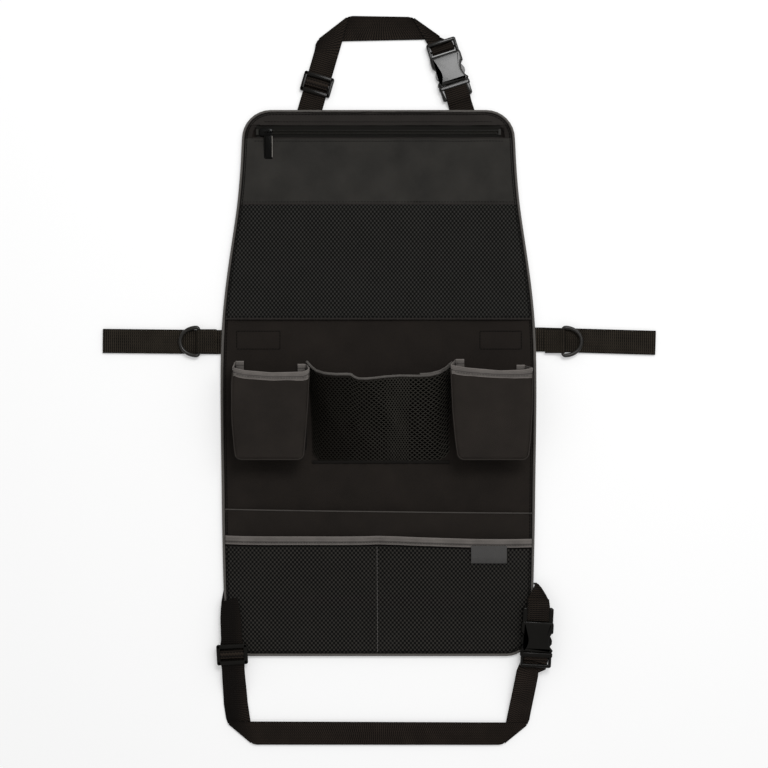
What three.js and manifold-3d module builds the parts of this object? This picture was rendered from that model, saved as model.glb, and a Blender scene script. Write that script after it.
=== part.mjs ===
// A seat-back organizer for a car, lying on its back with its pockets up, in millimetres.
// X runs across the panel, Y up it and Z out of its front; the origin is the middle of its back face.
import * as THREE from "three";
import { mergeVertices } from "three/addons/utils/BufferGeometryUtils.js";
import Module from "manifold-3d";

const wasm = await Module();
wasm.setup();

// Clearances
const GAP = 0.3; // between pieces that lie beside each other
const RUN_GAP = 0.25; // round the zip slider
const SINK = 0.1; // how far the two layers of a fold share their threads

// Cloth and webbing
const LINING_T = 1;
const CLOTH_T = 1;
const SLIP_T = 0.75;
const MESH_T = 1;
const BINDING_T = 1;
const BINDING_PROUD = 0.5;
const WEBBING_W = 25;
const WEBBING_T = 1.5;

// Panel outline, widths at drops below its top edge
const PANEL_HEIGHT = 567;
const TOP_WIDTH = 284;
const SHOULDER_WIDTH = 293;
const WAIST_WIDTH = 326;
const HEM_WIDTH = 320;
const SHOULDER_DROP = 94;
const WAIST_DROP = 228;
const FLANK_DROP = 403;
const TOP_CORNER_R = 30;
const HEM_CORNER_R = 27;
const PIPING_W = 3;
const PIPING_H = 3;
const PIPING_CHAMFER = 0.8;
const TAB_DEPTH = 28; // of a sewn webbing end inside the panel

// Zip pocket
const ZIP_DROP = 23;
const ZIP_WINDOW = 9.4;
const NYLON_HEIGHT = 70;
const UPPER_MESH_HEIGHT = 120;
const SEAM_TAPE_W = 8;
const ZIP_MARGIN = 15; // from the zip's ends to the panel's sides
const STOP_W = 2.5;
const STOP_REACH = 3;
const TAPE_T = 0.75;
const TAPE_UNDER = 5;
const TAPE_SLOT = 2;
const COIL_W = 2.3;
const COIL_H = 1.5;
const COIL_APART = 0.2;
const SLIDER_LENGTH = 14;
const SLIDER_WIDTH = 8.6;
const SLIDER_PLATE_T = 0.75;
const SLIDER_POST = 3;
const SLIDER_WALL = 1;
const BRIDGE_LENGTH = 8;
const BRIDGE_FROM_END = 4.2; // of the slider, to the bridge's middle
const BRIDGE_R = 0.6;
const KNUCKLE_R = 1.7;
const PULL_LENGTH = 28;
const PULL_WIDTH = 9;
const PULL_T = 1.6;
const PULL_CORNER_R = 2;
const PULL_NECK = 4.4;

// Bottle pockets
const POCKET_DEPTH = 36;
const POCKET_FOOT_W = 72;
const POCKET_FRONT_W = 81;
const POCKET_DROP = 264.5;
const POCKET_HEIGHT = 97;
const POCKET_CORNER_R = 14;
const POCKET_CENTRES = { left: -110.5, right: 115.5 };
const RIM_W = 9.4;
const RIM_FLANGE = 10;

// Centre net pocket
const NET_SIDE_GAP = 2.5;
const NET_DEPTH = 27;
const NET_HEIGHT = 100;
const NET_T = 0.75;
const NET_HEM = 2;
const NET_RIM_W = 3;

// Lower pockets
const SLIP_DROP = 416;
const MESH_DROP = 443.5;
const SLIP_PIPING_W = 2;
const SLIP_BELLY = 6.2;
const MESH_BELLY = 8;
const LABEL = { x: 114, width: 37, height: 17, thickness: 0.75 };

// Side straps and rings
const SIDE_STRAP_DROP = 240;
const SIDE_STRAP_OUT = 124; // beyond the panel's sides
const SIDE_STRAP_UNDER = 60;
const RING_OUT = { left: 23.5, right: 28.3 };
const RING_WIRE_R = 1.5;
const RING_OPENING = 26;
const RING_DEPTH = 19.5;
const RING_CORNER_R = 2;
const RING_LOOP_T = 1.25;
const RING_LOOP_LENGTH = 18;
const RING_CLEAR = 0.25;

// Strap adjusters
const ADJUSTER_LENGTH = 21;
const ADJUSTER_WIDTH = 32;
const ADJUSTER_RAIL = 3;
const ADJUSTER_BAR = 3;
const ADJUSTER_CORNER_R = 2;
const ADJUSTER_BELOW = 0.5;
const END_LOOP_T = 1.25;
const CENTRE_BAR_W = 4;
const CENTRE_BAR_T = 1.4;

// Side-release buckles: a socket, then a plug, along one axis
const BUCKLE_LENGTH = 62;
const BUCKLE_WIDTH = 33;
const BUCKLE_T = 8.5;
const BUCKLE_PLATE_T = 2;
const BUCKLE_RAIL = 2.4;
const BUCKLE_WALL = 3;
const BUCKLE_MOUTH = 46;
const BUCKLE_WAIST = 23.6;
const WEB_WINDOW = 13.5;
const END_BAR = 3.5;
const BAR_LIFT = 3;
const WEAVE_BAR = 2.4;
const WEAVE_BAR_T = 2.75;
const WEAVE_BAR_AT = 7.8;
const WEB_LEVEL = 1; // of the webbing above the buckle's base
const WEAVE_RISE = 3.3;
const ARM_CLEAR = 0.4;
const TONGUE_W = 6;

// Straps: their corners, each measured inwards and upwards from the nearest corner of the panel
const ROOT_FROM_CORNER = [70.7, 1.4];
const TOP_FOLD_FROM_CORNER = [95.3, 85.8];
const TOP_TURN_FROM_CORNER = [82.3, 85.8];
const TOP_BUCKLE_FROM_CORNER = [78, 72];
const TOP_BUCKLE_LEAN = 17.7;
const TOP_ADJUSTER_AT = 26.7; // along the strap from the panel's edge
const LEFT_TIP_FROM_CORNER = [-4, 76.5];
const LEFT_START_FROM_CORNER = [6, 50.5];
const LEFT_FOLD_FROM_CORNER = [13, -81];
const RIGHT_FOLD_FROM_CORNER = [19, -81.5];
const RIGHT_TIP_FROM_CORNER = [-4.8, 75.5];
const LOWER_BUCKLE_FROM_CORNER = [-5.5, 51.5];
const LOWER_BUCKLE_LEAN = -2.9;
const LOWER_ADJUSTER_AT = 48;
const OVER_PIPING = 3; // how high the lower straps cross above the piping
const DESCENT = 42; // length over which a lower strap comes down to the floor

// Levels
const FOAM_Z = LINING_T;
const CLOTH_Z = FOAM_Z + WEBBING_T;
const FRONT_Z = CLOTH_Z + CLOTH_T;
const POCKET_Z = FRONT_Z + RUN_GAP + SLIDER_PLATE_T + RUN_GAP + TAPE_T;
const TAPE_Z = POCKET_Z - TAPE_T;
const STRAP_Z = CLOTH_Z + PIPING_H + OVER_PIPING;

const TOP_Y = PANEL_HEIGHT / 2;
const ZIP_HALF = TOP_WIDTH / 2 - ZIP_MARGIN;
const POCKET_TOP = TOP_Y - POCKET_DROP;
const SIDE_STRAP_Y = TOP_Y - SIDE_STRAP_DROP;
const SIDE_STRAP_REACH = WAIST_WIDTH / 2 + SIDE_STRAP_OUT;
const ringX = (side) => side * (WAIST_WIDTH / 2 + (side < 0 ? RING_OUT.left : RING_OUT.right));
const ZIP_Y = TOP_Y - ZIP_DROP;
const NYLON_TOP = ZIP_Y - ZIP_WINDOW / 2;
const MESH_SEAM_Y = NYLON_TOP - NYLON_HEIGHT;
const POCKET_SEAM_Y = MESH_SEAM_Y - UPPER_MESH_HEIGHT;

const topCorner = (side, [inward, up]) => [side * (TOP_WIDTH / 2 - inward), TOP_Y + up];
const hemCorner = (side, [inward, up]) => [side * (HEM_WIDTH / 2 - inward), up - TOP_Y];
const TOP_LONG_ROOT = topCorner(-1, ROOT_FROM_CORNER);
const TOP_LONG_CORNER = topCorner(-1, TOP_FOLD_FROM_CORNER);
const TOP_TURN = topCorner(1, TOP_TURN_FROM_CORNER);
const TOP_BUCKLE = { at: topCorner(1, TOP_BUCKLE_FROM_CORNER), lean: TOP_BUCKLE_LEAN };
const LOWER_LEFT_TIP = hemCorner(-1, LEFT_TIP_FROM_CORNER);
const LOWER_LEFT_START = hemCorner(-1, LEFT_START_FROM_CORNER);
const LOWER_LEFT_CORNER = hemCorner(-1, LEFT_FOLD_FROM_CORNER);
const LOWER_RIGHT_CORNER = hemCorner(1, RIGHT_FOLD_FROM_CORNER);
const LOWER_RIGHT_TIP = hemCorner(1, RIGHT_TIP_FROM_CORNER);
const LOWER_BUCKLE = { at: hemCorner(1, LOWER_BUCKLE_FROM_CORNER), lean: LOWER_BUCKLE_LEAN };

const finish = (color, roughness, metalness = 0) =>
  new THREE.MeshStandardMaterial({ color, roughness, metalness });
const FINISHES = {
  lining: finish(0x24211f, 0.9),
  foam: finish(0x55534f, 0.95),
  cloth: finish(0x211d1a, 0.85),
  nylon: finish(0x2c2b29, 0.6),
  mesh: finish(0x1e1c1a, 0.8),
  binding: finish(0x565250, 0.8),
  piping: finish(0x625f5c, 0.75),
  webbing: finish(0x1f1b18, 0.85),
  plastic: finish(0x151413, 0.35),
  metal: finish(0x1a1918, 0.3, 0.8),
  label: finish(0x3e3d3c, 0.7),
};

const organizer = new THREE.Group();

function add(name, geometry, material, parent = organizer) {
  const mesh = new THREE.Mesh(geometry, material);
  mesh.name = name;
  parent.add(mesh);
  return mesh;
}

// Shapes

// A closed surface from its points and its four-cornered or three-cornered faces, turned to face out.
function closedSurface(points, faces) {
  const triangles = faces.flatMap((f) => (f.length === 3 ? [f] : [[f[0], f[1], f[2]], [f[0], f[2], f[3]]]));
  const volume = triangles.reduce(
    (sum, [a, b, c]) => sum + points[a].dot(points[b].clone().cross(points[c])),
    0,
  );
  const order = volume < 0 ? triangles.map(([a, b, c]) => [a, c, b]) : triangles;
  return new THREE.BufferGeometry().setFromPoints(points).setIndex(order.flat());
}

// Rings of points joined in turn: a closed loop, or a bar whose two ends are filled across.
// The second half of a ring is split the other way, so that two layers over one grid can touch.
function loft(rings, closed = false) {
  const count = rings[0].length;
  const faces = [];
  const last = closed ? rings.length : rings.length - 1;
  for (let r = 0; r < last; r++) {
    const here = r * count;
    const next = ((r + 1) % rings.length) * count;
    for (let i = 0; i < count; i++) {
      const j = (i + 1) % count;
      faces.push(
        i < count / 2
          ? [here + i, here + j, next + j, next + i]
          : [here + j, next + j, next + i, here + i],
      );
    }
  }
  if (!closed)
    for (const [start, turned] of [[0, false], [(rings.length - 1) * count, true]])
      for (let i = 0; i < count / 2 - 1; i++) {
        const face = [start + i, start + count - 1 - i, start + count - 2 - i, start + i + 1];
        faces.push(turned ? face.reverse() : face);
      }
  return closedSurface(rings.flat(), faces);
}

// A layer of cloth over a grid: each row is a list of [x, y, low, high].
const layer = (rows) =>
  loft(
    rows.map((row) => [
      ...row.map(([x, y, , high]) => new THREE.Vector3(x, y, high)),
      ...row.map(([x, y, low]) => new THREE.Vector3(x, y, low)).reverse(),
    ]),
  );

function slab(points, low, high) {
  const depth = high - low;
  return new THREE.ExtrudeGeometry(new THREE.Shape(points), { depth, bevelEnabled: false }).translate(0, 0, low);
}

const box = ([x0, x1], [y0, y1], [z0, z1]) =>
  new THREE.BoxGeometry(x1 - x0, y1 - y0, z1 - z0).translate((x0 + x1) / 2, (y0 + y1) / 2, (z0 + z1) / 2);

const toVectors = (pairs) => pairs.map(([x, y]) => new THREE.Vector2(x, y));

function roundedBox(width, height, radius, low, high) {
  const [x, y] = [width / 2, height / 2];
  const quarter = (cx, cy, from) => arc(cx, cy, radius, from, from + 90, 4);
  const outline = [
    ...quarter(x - radius, y - radius, 0),
    ...quarter(radius - x, y - radius, 90),
    ...quarter(radius - x, radius - y, 180),
    ...quarter(x - radius, radius - y, 270),
  ];
  return slab(outline, low, high);
}

function arc(cx, cy, radius, from, to, steps) {
  return Array.from({ length: steps + 1 }, (_, i) => {
    const angle = THREE.MathUtils.degToRad(from + ((to - from) * i) / steps);
    return new THREE.Vector2(cx + radius * Math.cos(angle), cy + radius * Math.sin(angle));
  });
}

// Joins and cuts

function solid(geometry) {
  const bare = geometry.clone();
  bare.deleteAttribute("normal");
  bare.deleteAttribute("uv");
  const merged = mergeVertices(bare);
  return new wasm.Manifold(
    new wasm.Mesh({
      numProp: 3,
      vertProperties: merged.attributes.position.array,
      triVerts: new Uint32Array(merged.index.array),
    }),
  );
}

function geometryOf(made) {
  const mesh = made.getMesh();
  const positions = new THREE.BufferAttribute(mesh.vertProperties, mesh.numProp);
  return new THREE.BufferGeometry()
    .setAttribute("position", positions)
    .setIndex(new THREE.BufferAttribute(mesh.triVerts, 1));
}

const combine = (action) => (first, ...others) =>
  geometryOf(others.reduce((made, g) => made[action](solid(g)), solid(first)));
const join = combine("add");
const cut = combine("subtract");
const meet = combine("intersect");

// Panel

function panelOutline() {
  const drop = (depth, width) => new THREE.Vector2(width / 2, TOP_Y - depth);
  const side = new THREE.SplineCurve([
    drop(TOP_CORNER_R, TOP_WIDTH),
    drop(SHOULDER_DROP, SHOULDER_WIDTH),
    drop(WAIST_DROP, WAIST_WIDTH),
    drop(FLANK_DROP, WAIST_WIDTH),
    drop(PANEL_HEIGHT - HEM_CORNER_R, HEM_WIDTH),
  ]).getPoints(16);
  const right = [
    ...arc(TOP_WIDTH / 2 - TOP_CORNER_R, TOP_Y - TOP_CORNER_R, TOP_CORNER_R, 90, 0, 6),
    ...side.slice(1, -1),
    ...arc(HEM_WIDTH / 2 - HEM_CORNER_R, HEM_CORNER_R - TOP_Y, HEM_CORNER_R, 0, -90, 6),
  ];
  const left = right.map((p) => new THREE.Vector2(-p.x, p.y)).reverse();
  return [...right, ...left].reverse();
}

// The outline moved inwards, point for point.
function inset(points, distance) {
  return points.map((p, i) => {
    const back = p.clone().sub(points.at(i - 1)).normalize();
    const ahead = points[(i + 1) % points.length].clone().sub(p).normalize();
    const normal = new THREE.Vector2(-back.y - ahead.y, back.x + ahead.x).normalize();
    const reach = distance / (-normal.x * back.y + normal.y * back.x);
    return p.clone().addScaledVector(normal, reach);
  });
}

const OUTLINE = panelOutline();
const CLOTH_EDGE = inset(OUTLINE, PIPING_W);
const SEAM_INNER = inset(OUTLINE, PIPING_W + SEAM_TAPE_W);

// Half the width inside a symmetrical outline at a height.
function halfWidth(points, y) {
  const crossings = points.flatMap((p, i) => {
    const q = points[(i + 1) % points.length];
    const share = (y - p.y) / (q.y - p.y);
    return share >= 0 && share <= 1 ? [p.x + share * (q.x - p.x)] : [];
  });
  return Math.max(...crossings);
}

const band = (points, [y0, y1], [z0, z1]) =>
  meet(slab(points, z0, z1), box([-WAIST_WIDTH, WAIST_WIDTH], [y0, y1], [z0 - 1, z1 + 1]));

function edgePiping() {
  const c = PIPING_CHAMFER;
  const section = [
    [c, 0], [PIPING_W, 0], [PIPING_W, PIPING_H - c], [PIPING_W - c, PIPING_H],
    [c, PIPING_H], [0, PIPING_H - c], [0, c],
  ];
  const contours = section.map(([depth, z]) =>
    inset(OUTLINE, depth).map((p) => new THREE.Vector3(p.x, p.y, CLOTH_Z + z)));
  return loft(OUTLINE.map((_, i) => contours.map((contour) => contour[i])), true);
}

// Webbing

const direction = (from, to) => new THREE.Vector2(to.x - from.x, to.y - from.y).normalize();
const sideOf = (along) => new THREE.Vector2(-along.y, along.x);

// The two edges of the webbing where it is cut along a line through a point of its middle.
function edgesAt(point, along, cutLine, grow = 0) {
  const reach = (WEBBING_W / 2 + grow) / cutLine.dot(sideOf(along));
  return [1, -1].map((side) => new THREE.Vector2(point.x, point.y).addScaledVector(cutLine, side * reach));
}

// Webbing along its middle line. A corner with next set is a fold, and the webbing goes on at that level.
function webbing(route) {
  const pieces = [];
  let rings = [];
  const ring = (point, along, cutLine, low) => {
    const [left, right] = edgesAt(point, along, cutLine);
    return [
      new THREE.Vector3(left.x, left.y, low + WEBBING_T),
      new THREE.Vector3(right.x, right.y, low + WEBBING_T),
      new THREE.Vector3(right.x, right.y, low),
      new THREE.Vector3(left.x, left.y, low),
    ];
  };
  route.forEach((point, i) => {
    const before = i > 0 ? direction(route[i - 1], point) : direction(point, route[i + 1]);
    const after = i < route.length - 1 ? direction(point, route[i + 1]) : before;
    const mean = before.clone().add(after).normalize();
    if (point.next === undefined) {
      rings.push(ring(point, mean, sideOf(mean), point.z));
      return;
    }
    rings.push(ring(point, before, mean, point.z));
    pieces.push(loft(rings));
    rings = [ring(point, after, mean, point.next)];
  });
  pieces.push(loft(rings));
  return join(...pieces);
}

const corner = ([x, y], z, next) => ({ x, y, z, next });

// A point at a distance along a line through two places.
function along([x0, y0], [x1, y1], distance) {
  const way = new THREE.Vector2(x1 - x0, y1 - y0).normalize();
  return [x0 + way.x * distance, y0 + way.y * distance];
}

// The sewn end of a strap inside the panel, as wide as its notch in the foam.
const notch = (root, inner) => {
  const way = direction({ x: inner[0], y: inner[1] }, { x: root[0], y: root[1] });
  const ends = [
    { x: inner[0] - way.x * GAP, y: inner[1] - way.y * GAP },
    { x: root[0] + way.x * TAB_DEPTH, y: root[1] + way.y * TAB_DEPTH },
  ];
  const [a, b] = edgesAt(ends[0], way, sideOf(way), GAP);
  const [d, c] = edgesAt(ends[1], way, sideOf(way), GAP);
  return slab([a, b, c, d], FOAM_Z - 1, CLOTH_Z + 1);
};

// Where a lower strap leaves the side seam and folds over on top of the panel.
function edgeTurn(tip, start, end) {
  const way = direction({ x: start[0], y: start[1] }, { x: end[0], y: end[1] });
  const edges = edgesAt({ x: start[0], y: start[1] }, way, sideOf(way));
  const outward = Math.sign(tip[0]);
  const [outer, inner] = edges.sort((a, b) => outward * (b.x - a.x));
  const peak = new THREE.Vector2(...tip);
  const inside = -outward * (TAB_DEPTH + Math.abs(tip[0]) - HEM_WIDTH / 2);
  const wallIn = -outward * WEBBING_T;
  const shifted = (p, dx) => new THREE.Vector2(p.x + dx, p.y);
  const tab = [peak, outer, shifted(new THREE.Vector2(peak.x, outer.y), inside), shifted(peak, inside)];
  const grown = inset(THREE.ShapeUtils.isClockWise(tab) ? [...tab].reverse() : tab, -GAP);
  return {
    pieces: [
      slab(tab, FOAM_Z, FOAM_Z + WEBBING_T),
      slab([peak, outer, shifted(outer, wallIn), shifted(peak, wallIn)], FOAM_Z, STRAP_Z + WEBBING_T),
      slab([peak, outer, inner], STRAP_Z, STRAP_Z + WEBBING_T),
    ],
    notch: slab(grown, FOAM_Z - 1, CLOTH_Z + 1),
  };
}

// The way of the webbing at a buckle's end: under the end bar, over the weave bar and down the slit.
function weave(place, lean, base, fromEnd = 0, sign = 1) {
  const turn = THREE.MathUtils.degToRad(lean);
  const at = (s) => {
    const distance = fromEnd + sign * s;
    return [place[0] + Math.sin(turn) * distance, place[1] - Math.cos(turn) * distance];
  };
  const level = base + WEB_LEVEL;
  return [
    corner(at(0), level),
    corner(at(END_BAR + GAP), level),
    corner(at(WEAVE_BAR_AT - GAP), level + WEAVE_RISE),
    corner(at(WEAVE_BAR_AT + WEAVE_BAR + GAP), level + WEAVE_RISE),
    corner(at(WEB_WINDOW - 2 * GAP), level),
  ];
}

const topLongInner = along(TOP_LONG_ROOT, TOP_LONG_CORNER, -TAB_DEPTH);
const topLongClear = along(TOP_LONG_ROOT, TOP_LONG_CORNER, 60);
const topShortRoot = weave(TOP_BUCKLE.at, TOP_BUCKLE.lean, 0, BUCKLE_LENGTH, -1)[0];
const topShortWay = along(TOP_BUCKLE.at, [topShortRoot.x, topShortRoot.y], BUCKLE_LENGTH + 40);
const foldLift = WEBBING_T - SINK;

function topLongStrap() {
  return webbing([
    corner(topLongInner, FOAM_Z),
    corner(topLongClear, FOAM_Z),
    corner(TOP_LONG_CORNER, foldLift, 0),
    corner(TOP_TURN, 0, foldLift),
    ...weave(TOP_BUCKLE.at, TOP_BUCKLE.lean, 0),
  ]);
}

const topShortStrap = () =>
  webbing([
    ...weave(TOP_BUCKLE.at, TOP_BUCKLE.lean, 0, BUCKLE_LENGTH, -1).reverse(),
    corner(topShortWay, FOAM_Z),
  ]);

const lowerThreads = weave(LOWER_BUCKLE.at, LOWER_BUCKLE.lean, STRAP_Z - WEB_LEVEL);
const leftTurn = edgeTurn(LOWER_LEFT_TIP, LOWER_LEFT_START, LOWER_LEFT_CORNER);
const rightTurn = edgeTurn(LOWER_RIGHT_TIP, LOWER_BUCKLE.at, [lowerThreads[1].x, lowerThreads[1].y]);

function lowerLongStrap() {
  const down = along(LOWER_LEFT_START, LOWER_LEFT_CORNER, LOWER_LEFT_START[1] + TOP_Y + 8);
  const landed = along(down, LOWER_LEFT_CORNER, DESCENT);
  const threads = weave(LOWER_BUCKLE.at, LOWER_BUCKLE.lean, STRAP_Z - WEB_LEVEL, BUCKLE_LENGTH, -1);
  const lifted = along(LOWER_RIGHT_CORNER, [threads[0].x, threads[0].y], 24);
  const route = webbing([
    corner(LOWER_LEFT_START, STRAP_Z),
    corner(down, STRAP_Z),
    corner(landed, 0),
    corner(LOWER_LEFT_CORNER, 0, foldLift),
    corner(LOWER_RIGHT_CORNER, foldLift, 0),
    corner(lifted, 0),
    ...threads,
  ]);
  return join(route, ...leftTurn.pieces);
}

const lowerShortStrap = () => join(webbing(lowerThreads), ...rightTurn.pieces);

function foam() {
  const sideNotch = (side) => {
    const root = [side * (WAIST_WIDTH / 2), SIDE_STRAP_Y];
    return notch(root, [side * (WAIST_WIDTH / 2 - SIDE_STRAP_UNDER), SIDE_STRAP_Y]);
  };
  return cut(
    slab(OUTLINE, FOAM_Z, CLOTH_Z),
    notch(TOP_LONG_ROOT, topLongInner),
    notch([topShortRoot.x, topShortRoot.y], topShortWay),
    sideNotch(-1),
    sideNotch(1),
    leftTurn.notch,
    rightTurn.notch,
  );
}

add("back_lining", slab(OUTLINE, 0, LINING_T), FINISHES.lining);
add("foam_interlining", foam(), FINISHES.foam);
add("front_base_cloth", slab(CLOTH_EDGE, CLOTH_Z, FRONT_Z), FINISHES.cloth);
add("edge_piping", edgePiping(), FINISHES.piping);

// Zip pocket

const zipFront = (yRange) => band(CLOTH_EDGE, yRange, [POCKET_Z, POCKET_Z + CLOTH_T]);
const seamTape = join(
  cut(
    band(CLOTH_EDGE, [POCKET_SEAM_Y, TOP_Y], [FRONT_Z, POCKET_Z]),
    slab(SEAM_INNER, FRONT_Z - 1, POCKET_Z + 1),
  ),
  band(CLOTH_EDGE, [POCKET_SEAM_Y, POCKET_SEAM_Y + SEAM_TAPE_W], [FRONT_Z, POCKET_Z]),
);
add("upper_pocket_seam_tape", seamTape, FINISHES.lining);
add("top_band_cloth", zipFront([ZIP_Y + ZIP_WINDOW / 2, TOP_Y]), FINISHES.cloth);
add("nylon_zip_panel", zipFront([MESH_SEAM_Y + GAP, NYLON_TOP]), FINISHES.nylon);
add("upper_mesh_panel", zipFront([POCKET_SEAM_Y, MESH_SEAM_Y]), FINISHES.mesh);

const tapeArea = inset(OUTLINE, PIPING_W + SEAM_TAPE_W + GAP);
const sliderStart = -ZIP_HALF + STOP_W + 2 * RUN_GAP;
for (const [name, side] of [["upper", 1], ["lower", -1]]) {
  const between = (a, b) => [ZIP_Y + side * a, ZIP_Y + side * b].sort((p, q) => p - q);
  const tape = between(TAPE_SLOT / 2, ZIP_WINDOW / 2 + TAPE_UNDER);
  const coil = between(COIL_APART / 2, COIL_APART / 2 + COIL_W);
  const coilEnds = [sliderStart + SLIDER_POST + GAP, ZIP_HALF - STOP_W - GAP];
  add("zip_tape_" + name, band(tapeArea, tape, [TAPE_Z, POCKET_Z]), FINISHES.cloth);
  add("zip_coil_" + name, box(coilEnds, coil, [POCKET_Z, POCKET_Z + COIL_H]), FINISHES.plastic);
}
for (const [name, x] of [["left", -ZIP_HALF], ["right", ZIP_HALF - STOP_W]]) {
  const across = [ZIP_Y - STOP_REACH, ZIP_Y + STOP_REACH];
  add("zip_stop_" + name, box([x, x + STOP_W], across, [POCKET_Z, POCKET_Z + COIL_H]), FINISHES.plastic);
}

const sliderTop = POCKET_Z + COIL_H + RUN_GAP;
const bridgeZ = sliderTop + SLIDER_WALL + RUN_GAP + KNUCKLE_R;
const pullX = sliderStart + SLIDER_LENGTH - BRIDGE_FROM_END;

function zipSlider() {
  const ends = [sliderStart, sliderStart + SLIDER_LENGTH];
  const wide = (half) => [ZIP_Y - half, ZIP_Y + half];
  const flangeIn = COIL_APART / 2 + COIL_W + RUN_GAP;
  const flanges = [1, -1].map((side) => {
    const reach = [ZIP_Y + side * flangeIn, ZIP_Y + side * (flangeIn + SLIDER_WALL)].sort((a, b) => a - b);
    return box(ends, reach, [POCKET_Z + RUN_GAP, sliderTop + SLIDER_WALL / 2]);
  });
  const post = [sliderStart, sliderStart + SLIDER_POST];
  const postHalf = TAPE_SLOT / 2 - GAP;
  const plateLow = TAPE_Z - RUN_GAP - SLIDER_PLATE_T;
  const legs = [pullX - BRIDGE_LENGTH / 2, pullX + BRIDGE_LENGTH / 2 - SLIDER_WALL].map((x) =>
    box([x, x + SLIDER_WALL], wide(BRIDGE_R), [sliderTop + SLIDER_WALL / 2, bridgeZ + BRIDGE_R]));
  const bar = new THREE.CylinderGeometry(BRIDGE_R, BRIDGE_R, BRIDGE_LENGTH, 12)
    .rotateZ(Math.PI / 2)
    .translate(pullX, ZIP_Y, bridgeZ);
  return join(
    box(ends, wide(SLIDER_WIDTH / 2), [sliderTop, sliderTop + SLIDER_WALL]),
    ...flanges,
    box(post, wide(postHalf), [plateLow, sliderTop + SLIDER_WALL / 2]),
    box(ends, wide(flangeIn + SLIDER_WALL), [plateLow, TAPE_Z - RUN_GAP]),
    ...legs,
    bar,
  );
}

function zipPull() {
  const half = PULL_NECK / 2;
  const knuckle = new THREE.Shape(arc(0, 0, KNUCKLE_R, 0, 345, 15));
  knuckle.holes.push(new THREE.Path(arc(0, 0, BRIDGE_R + GAP, 0, 345, 15)));
  const ring = new THREE.ExtrudeGeometry(knuckle, { depth: PULL_NECK, bevelEnabled: false })
    .rotateY(Math.PI / 2)
    .translate(-half, 0, 0);
  const neckEnd = KNUCKLE_R + 1;
  const neck = box([-half, half], [-neckEnd - 1, -(BRIDGE_R + GAP + SINK)], [-PULL_T / 2, PULL_T / 2]);
  const tab = roundedBox(PULL_WIDTH, PULL_LENGTH - neckEnd, PULL_CORNER_R, -PULL_T / 2, PULL_T / 2)
    .translate(0, -(PULL_LENGTH + neckEnd) / 2, 0);
  return join(ring, neck, tab);
}

add("zip_slider", zipSlider(), FINISHES.metal);
const pullGroup = new THREE.Group();
pullGroup.position.set(pullX, ZIP_Y, bridgeZ);
pullGroup.rotation.x = Math.asin((bridgeZ - PULL_T / 2 - POCKET_Z - CLOTH_T - GAP) / PULL_LENGTH);
organizer.add(pullGroup);
add("zip_pull", zipPull(), FINISHES.metal, pullGroup);

// Bottle pockets

function pocketContour(x, width, top, bottom, radius) {
  const half = width / 2;
  return [
    new THREE.Vector2(x - half, top),
    ...arc(x - half + radius, bottom + radius, radius, 180, 270, 5),
    ...arc(x + half - radius, bottom + radius, radius, 270, 360, 5),
    new THREE.Vector2(x + half, top),
  ];
}

const pocketBottom = POCKET_TOP - POCKET_HEIGHT;
const pocketLip = POCKET_TOP - RIM_W - GAP;
const pocketFace = FRONT_Z + POCKET_DEPTH;

function gusset(x) {
  const level = (width, thinner, z) =>
    pocketContour(x, width - 2 * thinner, pocketLip, pocketBottom + thinner, POCKET_CORNER_R - thinner)
      .map((p) => new THREE.Vector3(p.x, p.y, z));
  const corners = [
    level(POCKET_FOOT_W, 0, FRONT_Z),
    level(POCKET_FRONT_W, 0, pocketFace),
    level(POCKET_FRONT_W, CLOTH_T, pocketFace),
    level(POCKET_FOOT_W, CLOTH_T, FRONT_Z),
  ];
  return loft(corners[0].map((_, i) => corners.map((line) => line[i])));
}

function rimBinding(x) {
  const half = (width, proud) => width / 2 + proud;
  const top = pocketFace + CLOTH_T + BINDING_PROUD;
  const under = pocketFace - BINDING_PROUD;
  const side = [
    [half(POCKET_FRONT_W, BINDING_PROUD), top],
    [half(POCKET_FOOT_W, BINDING_PROUD), FRONT_Z],
    [half(POCKET_FOOT_W, -RIM_FLANGE), FRONT_Z],
    [half(POCKET_FOOT_W, -RIM_FLANGE), FRONT_Z + BINDING_T],
    [half(POCKET_FOOT_W, -CLOTH_T - BINDING_PROUD), FRONT_Z + BINDING_T],
    [half(POCKET_FRONT_W, -CLOTH_T - BINDING_PROUD), under],
  ];
  const mirrored = side.map(([across, z]) => [-across, z]).reverse();
  const section = toVectors([...side, ...mirrored]);
  return slab(section, -POCKET_TOP, RIM_W - POCKET_TOP).rotateX(Math.PI / 2).translate(x, 0, 0);
}

for (const [side, x] of Object.entries(POCKET_CENTRES)) {
  const face = pocketContour(x, POCKET_FRONT_W, pocketLip, pocketBottom, POCKET_CORNER_R);
  add(side + "_pocket_front", slab(face, pocketFace, pocketFace + CLOTH_T), FINISHES.cloth);
  add(side + "_pocket_gusset", gusset(x), FINISHES.cloth);
  add(side + "_pocket_binding", rimBinding(x), FINISHES.binding);
}

// Centre net pocket

const netLeft = POCKET_CENTRES.left + POCKET_FRONT_W / 2 + NET_SIDE_GAP;
const netRight = POCKET_CENTRES.right - POCKET_FRONT_W / 2 - NET_SIDE_GAP;
const netLip = POCKET_TOP - NET_RIM_W - GAP;

// An arch of cloth over the panel, thinner than its outline by the two margins.
function arch(y, height, outside, inside) {
  const steps = 20;
  const middle = (netLeft + netRight) / 2;
  const curve = (margin) =>
    Array.from({ length: steps + 1 }, (_, i) => {
      const angle = Math.PI * (1 - i / steps);
      const across = ((netRight - netLeft) / 2 - margin) * Math.cos(angle);
      return new THREE.Vector3(middle + across, y, FRONT_Z + (height - margin) * Math.sin(angle));
    });
  return [...curve(outside), ...curve(inside).reverse()];
}

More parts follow.
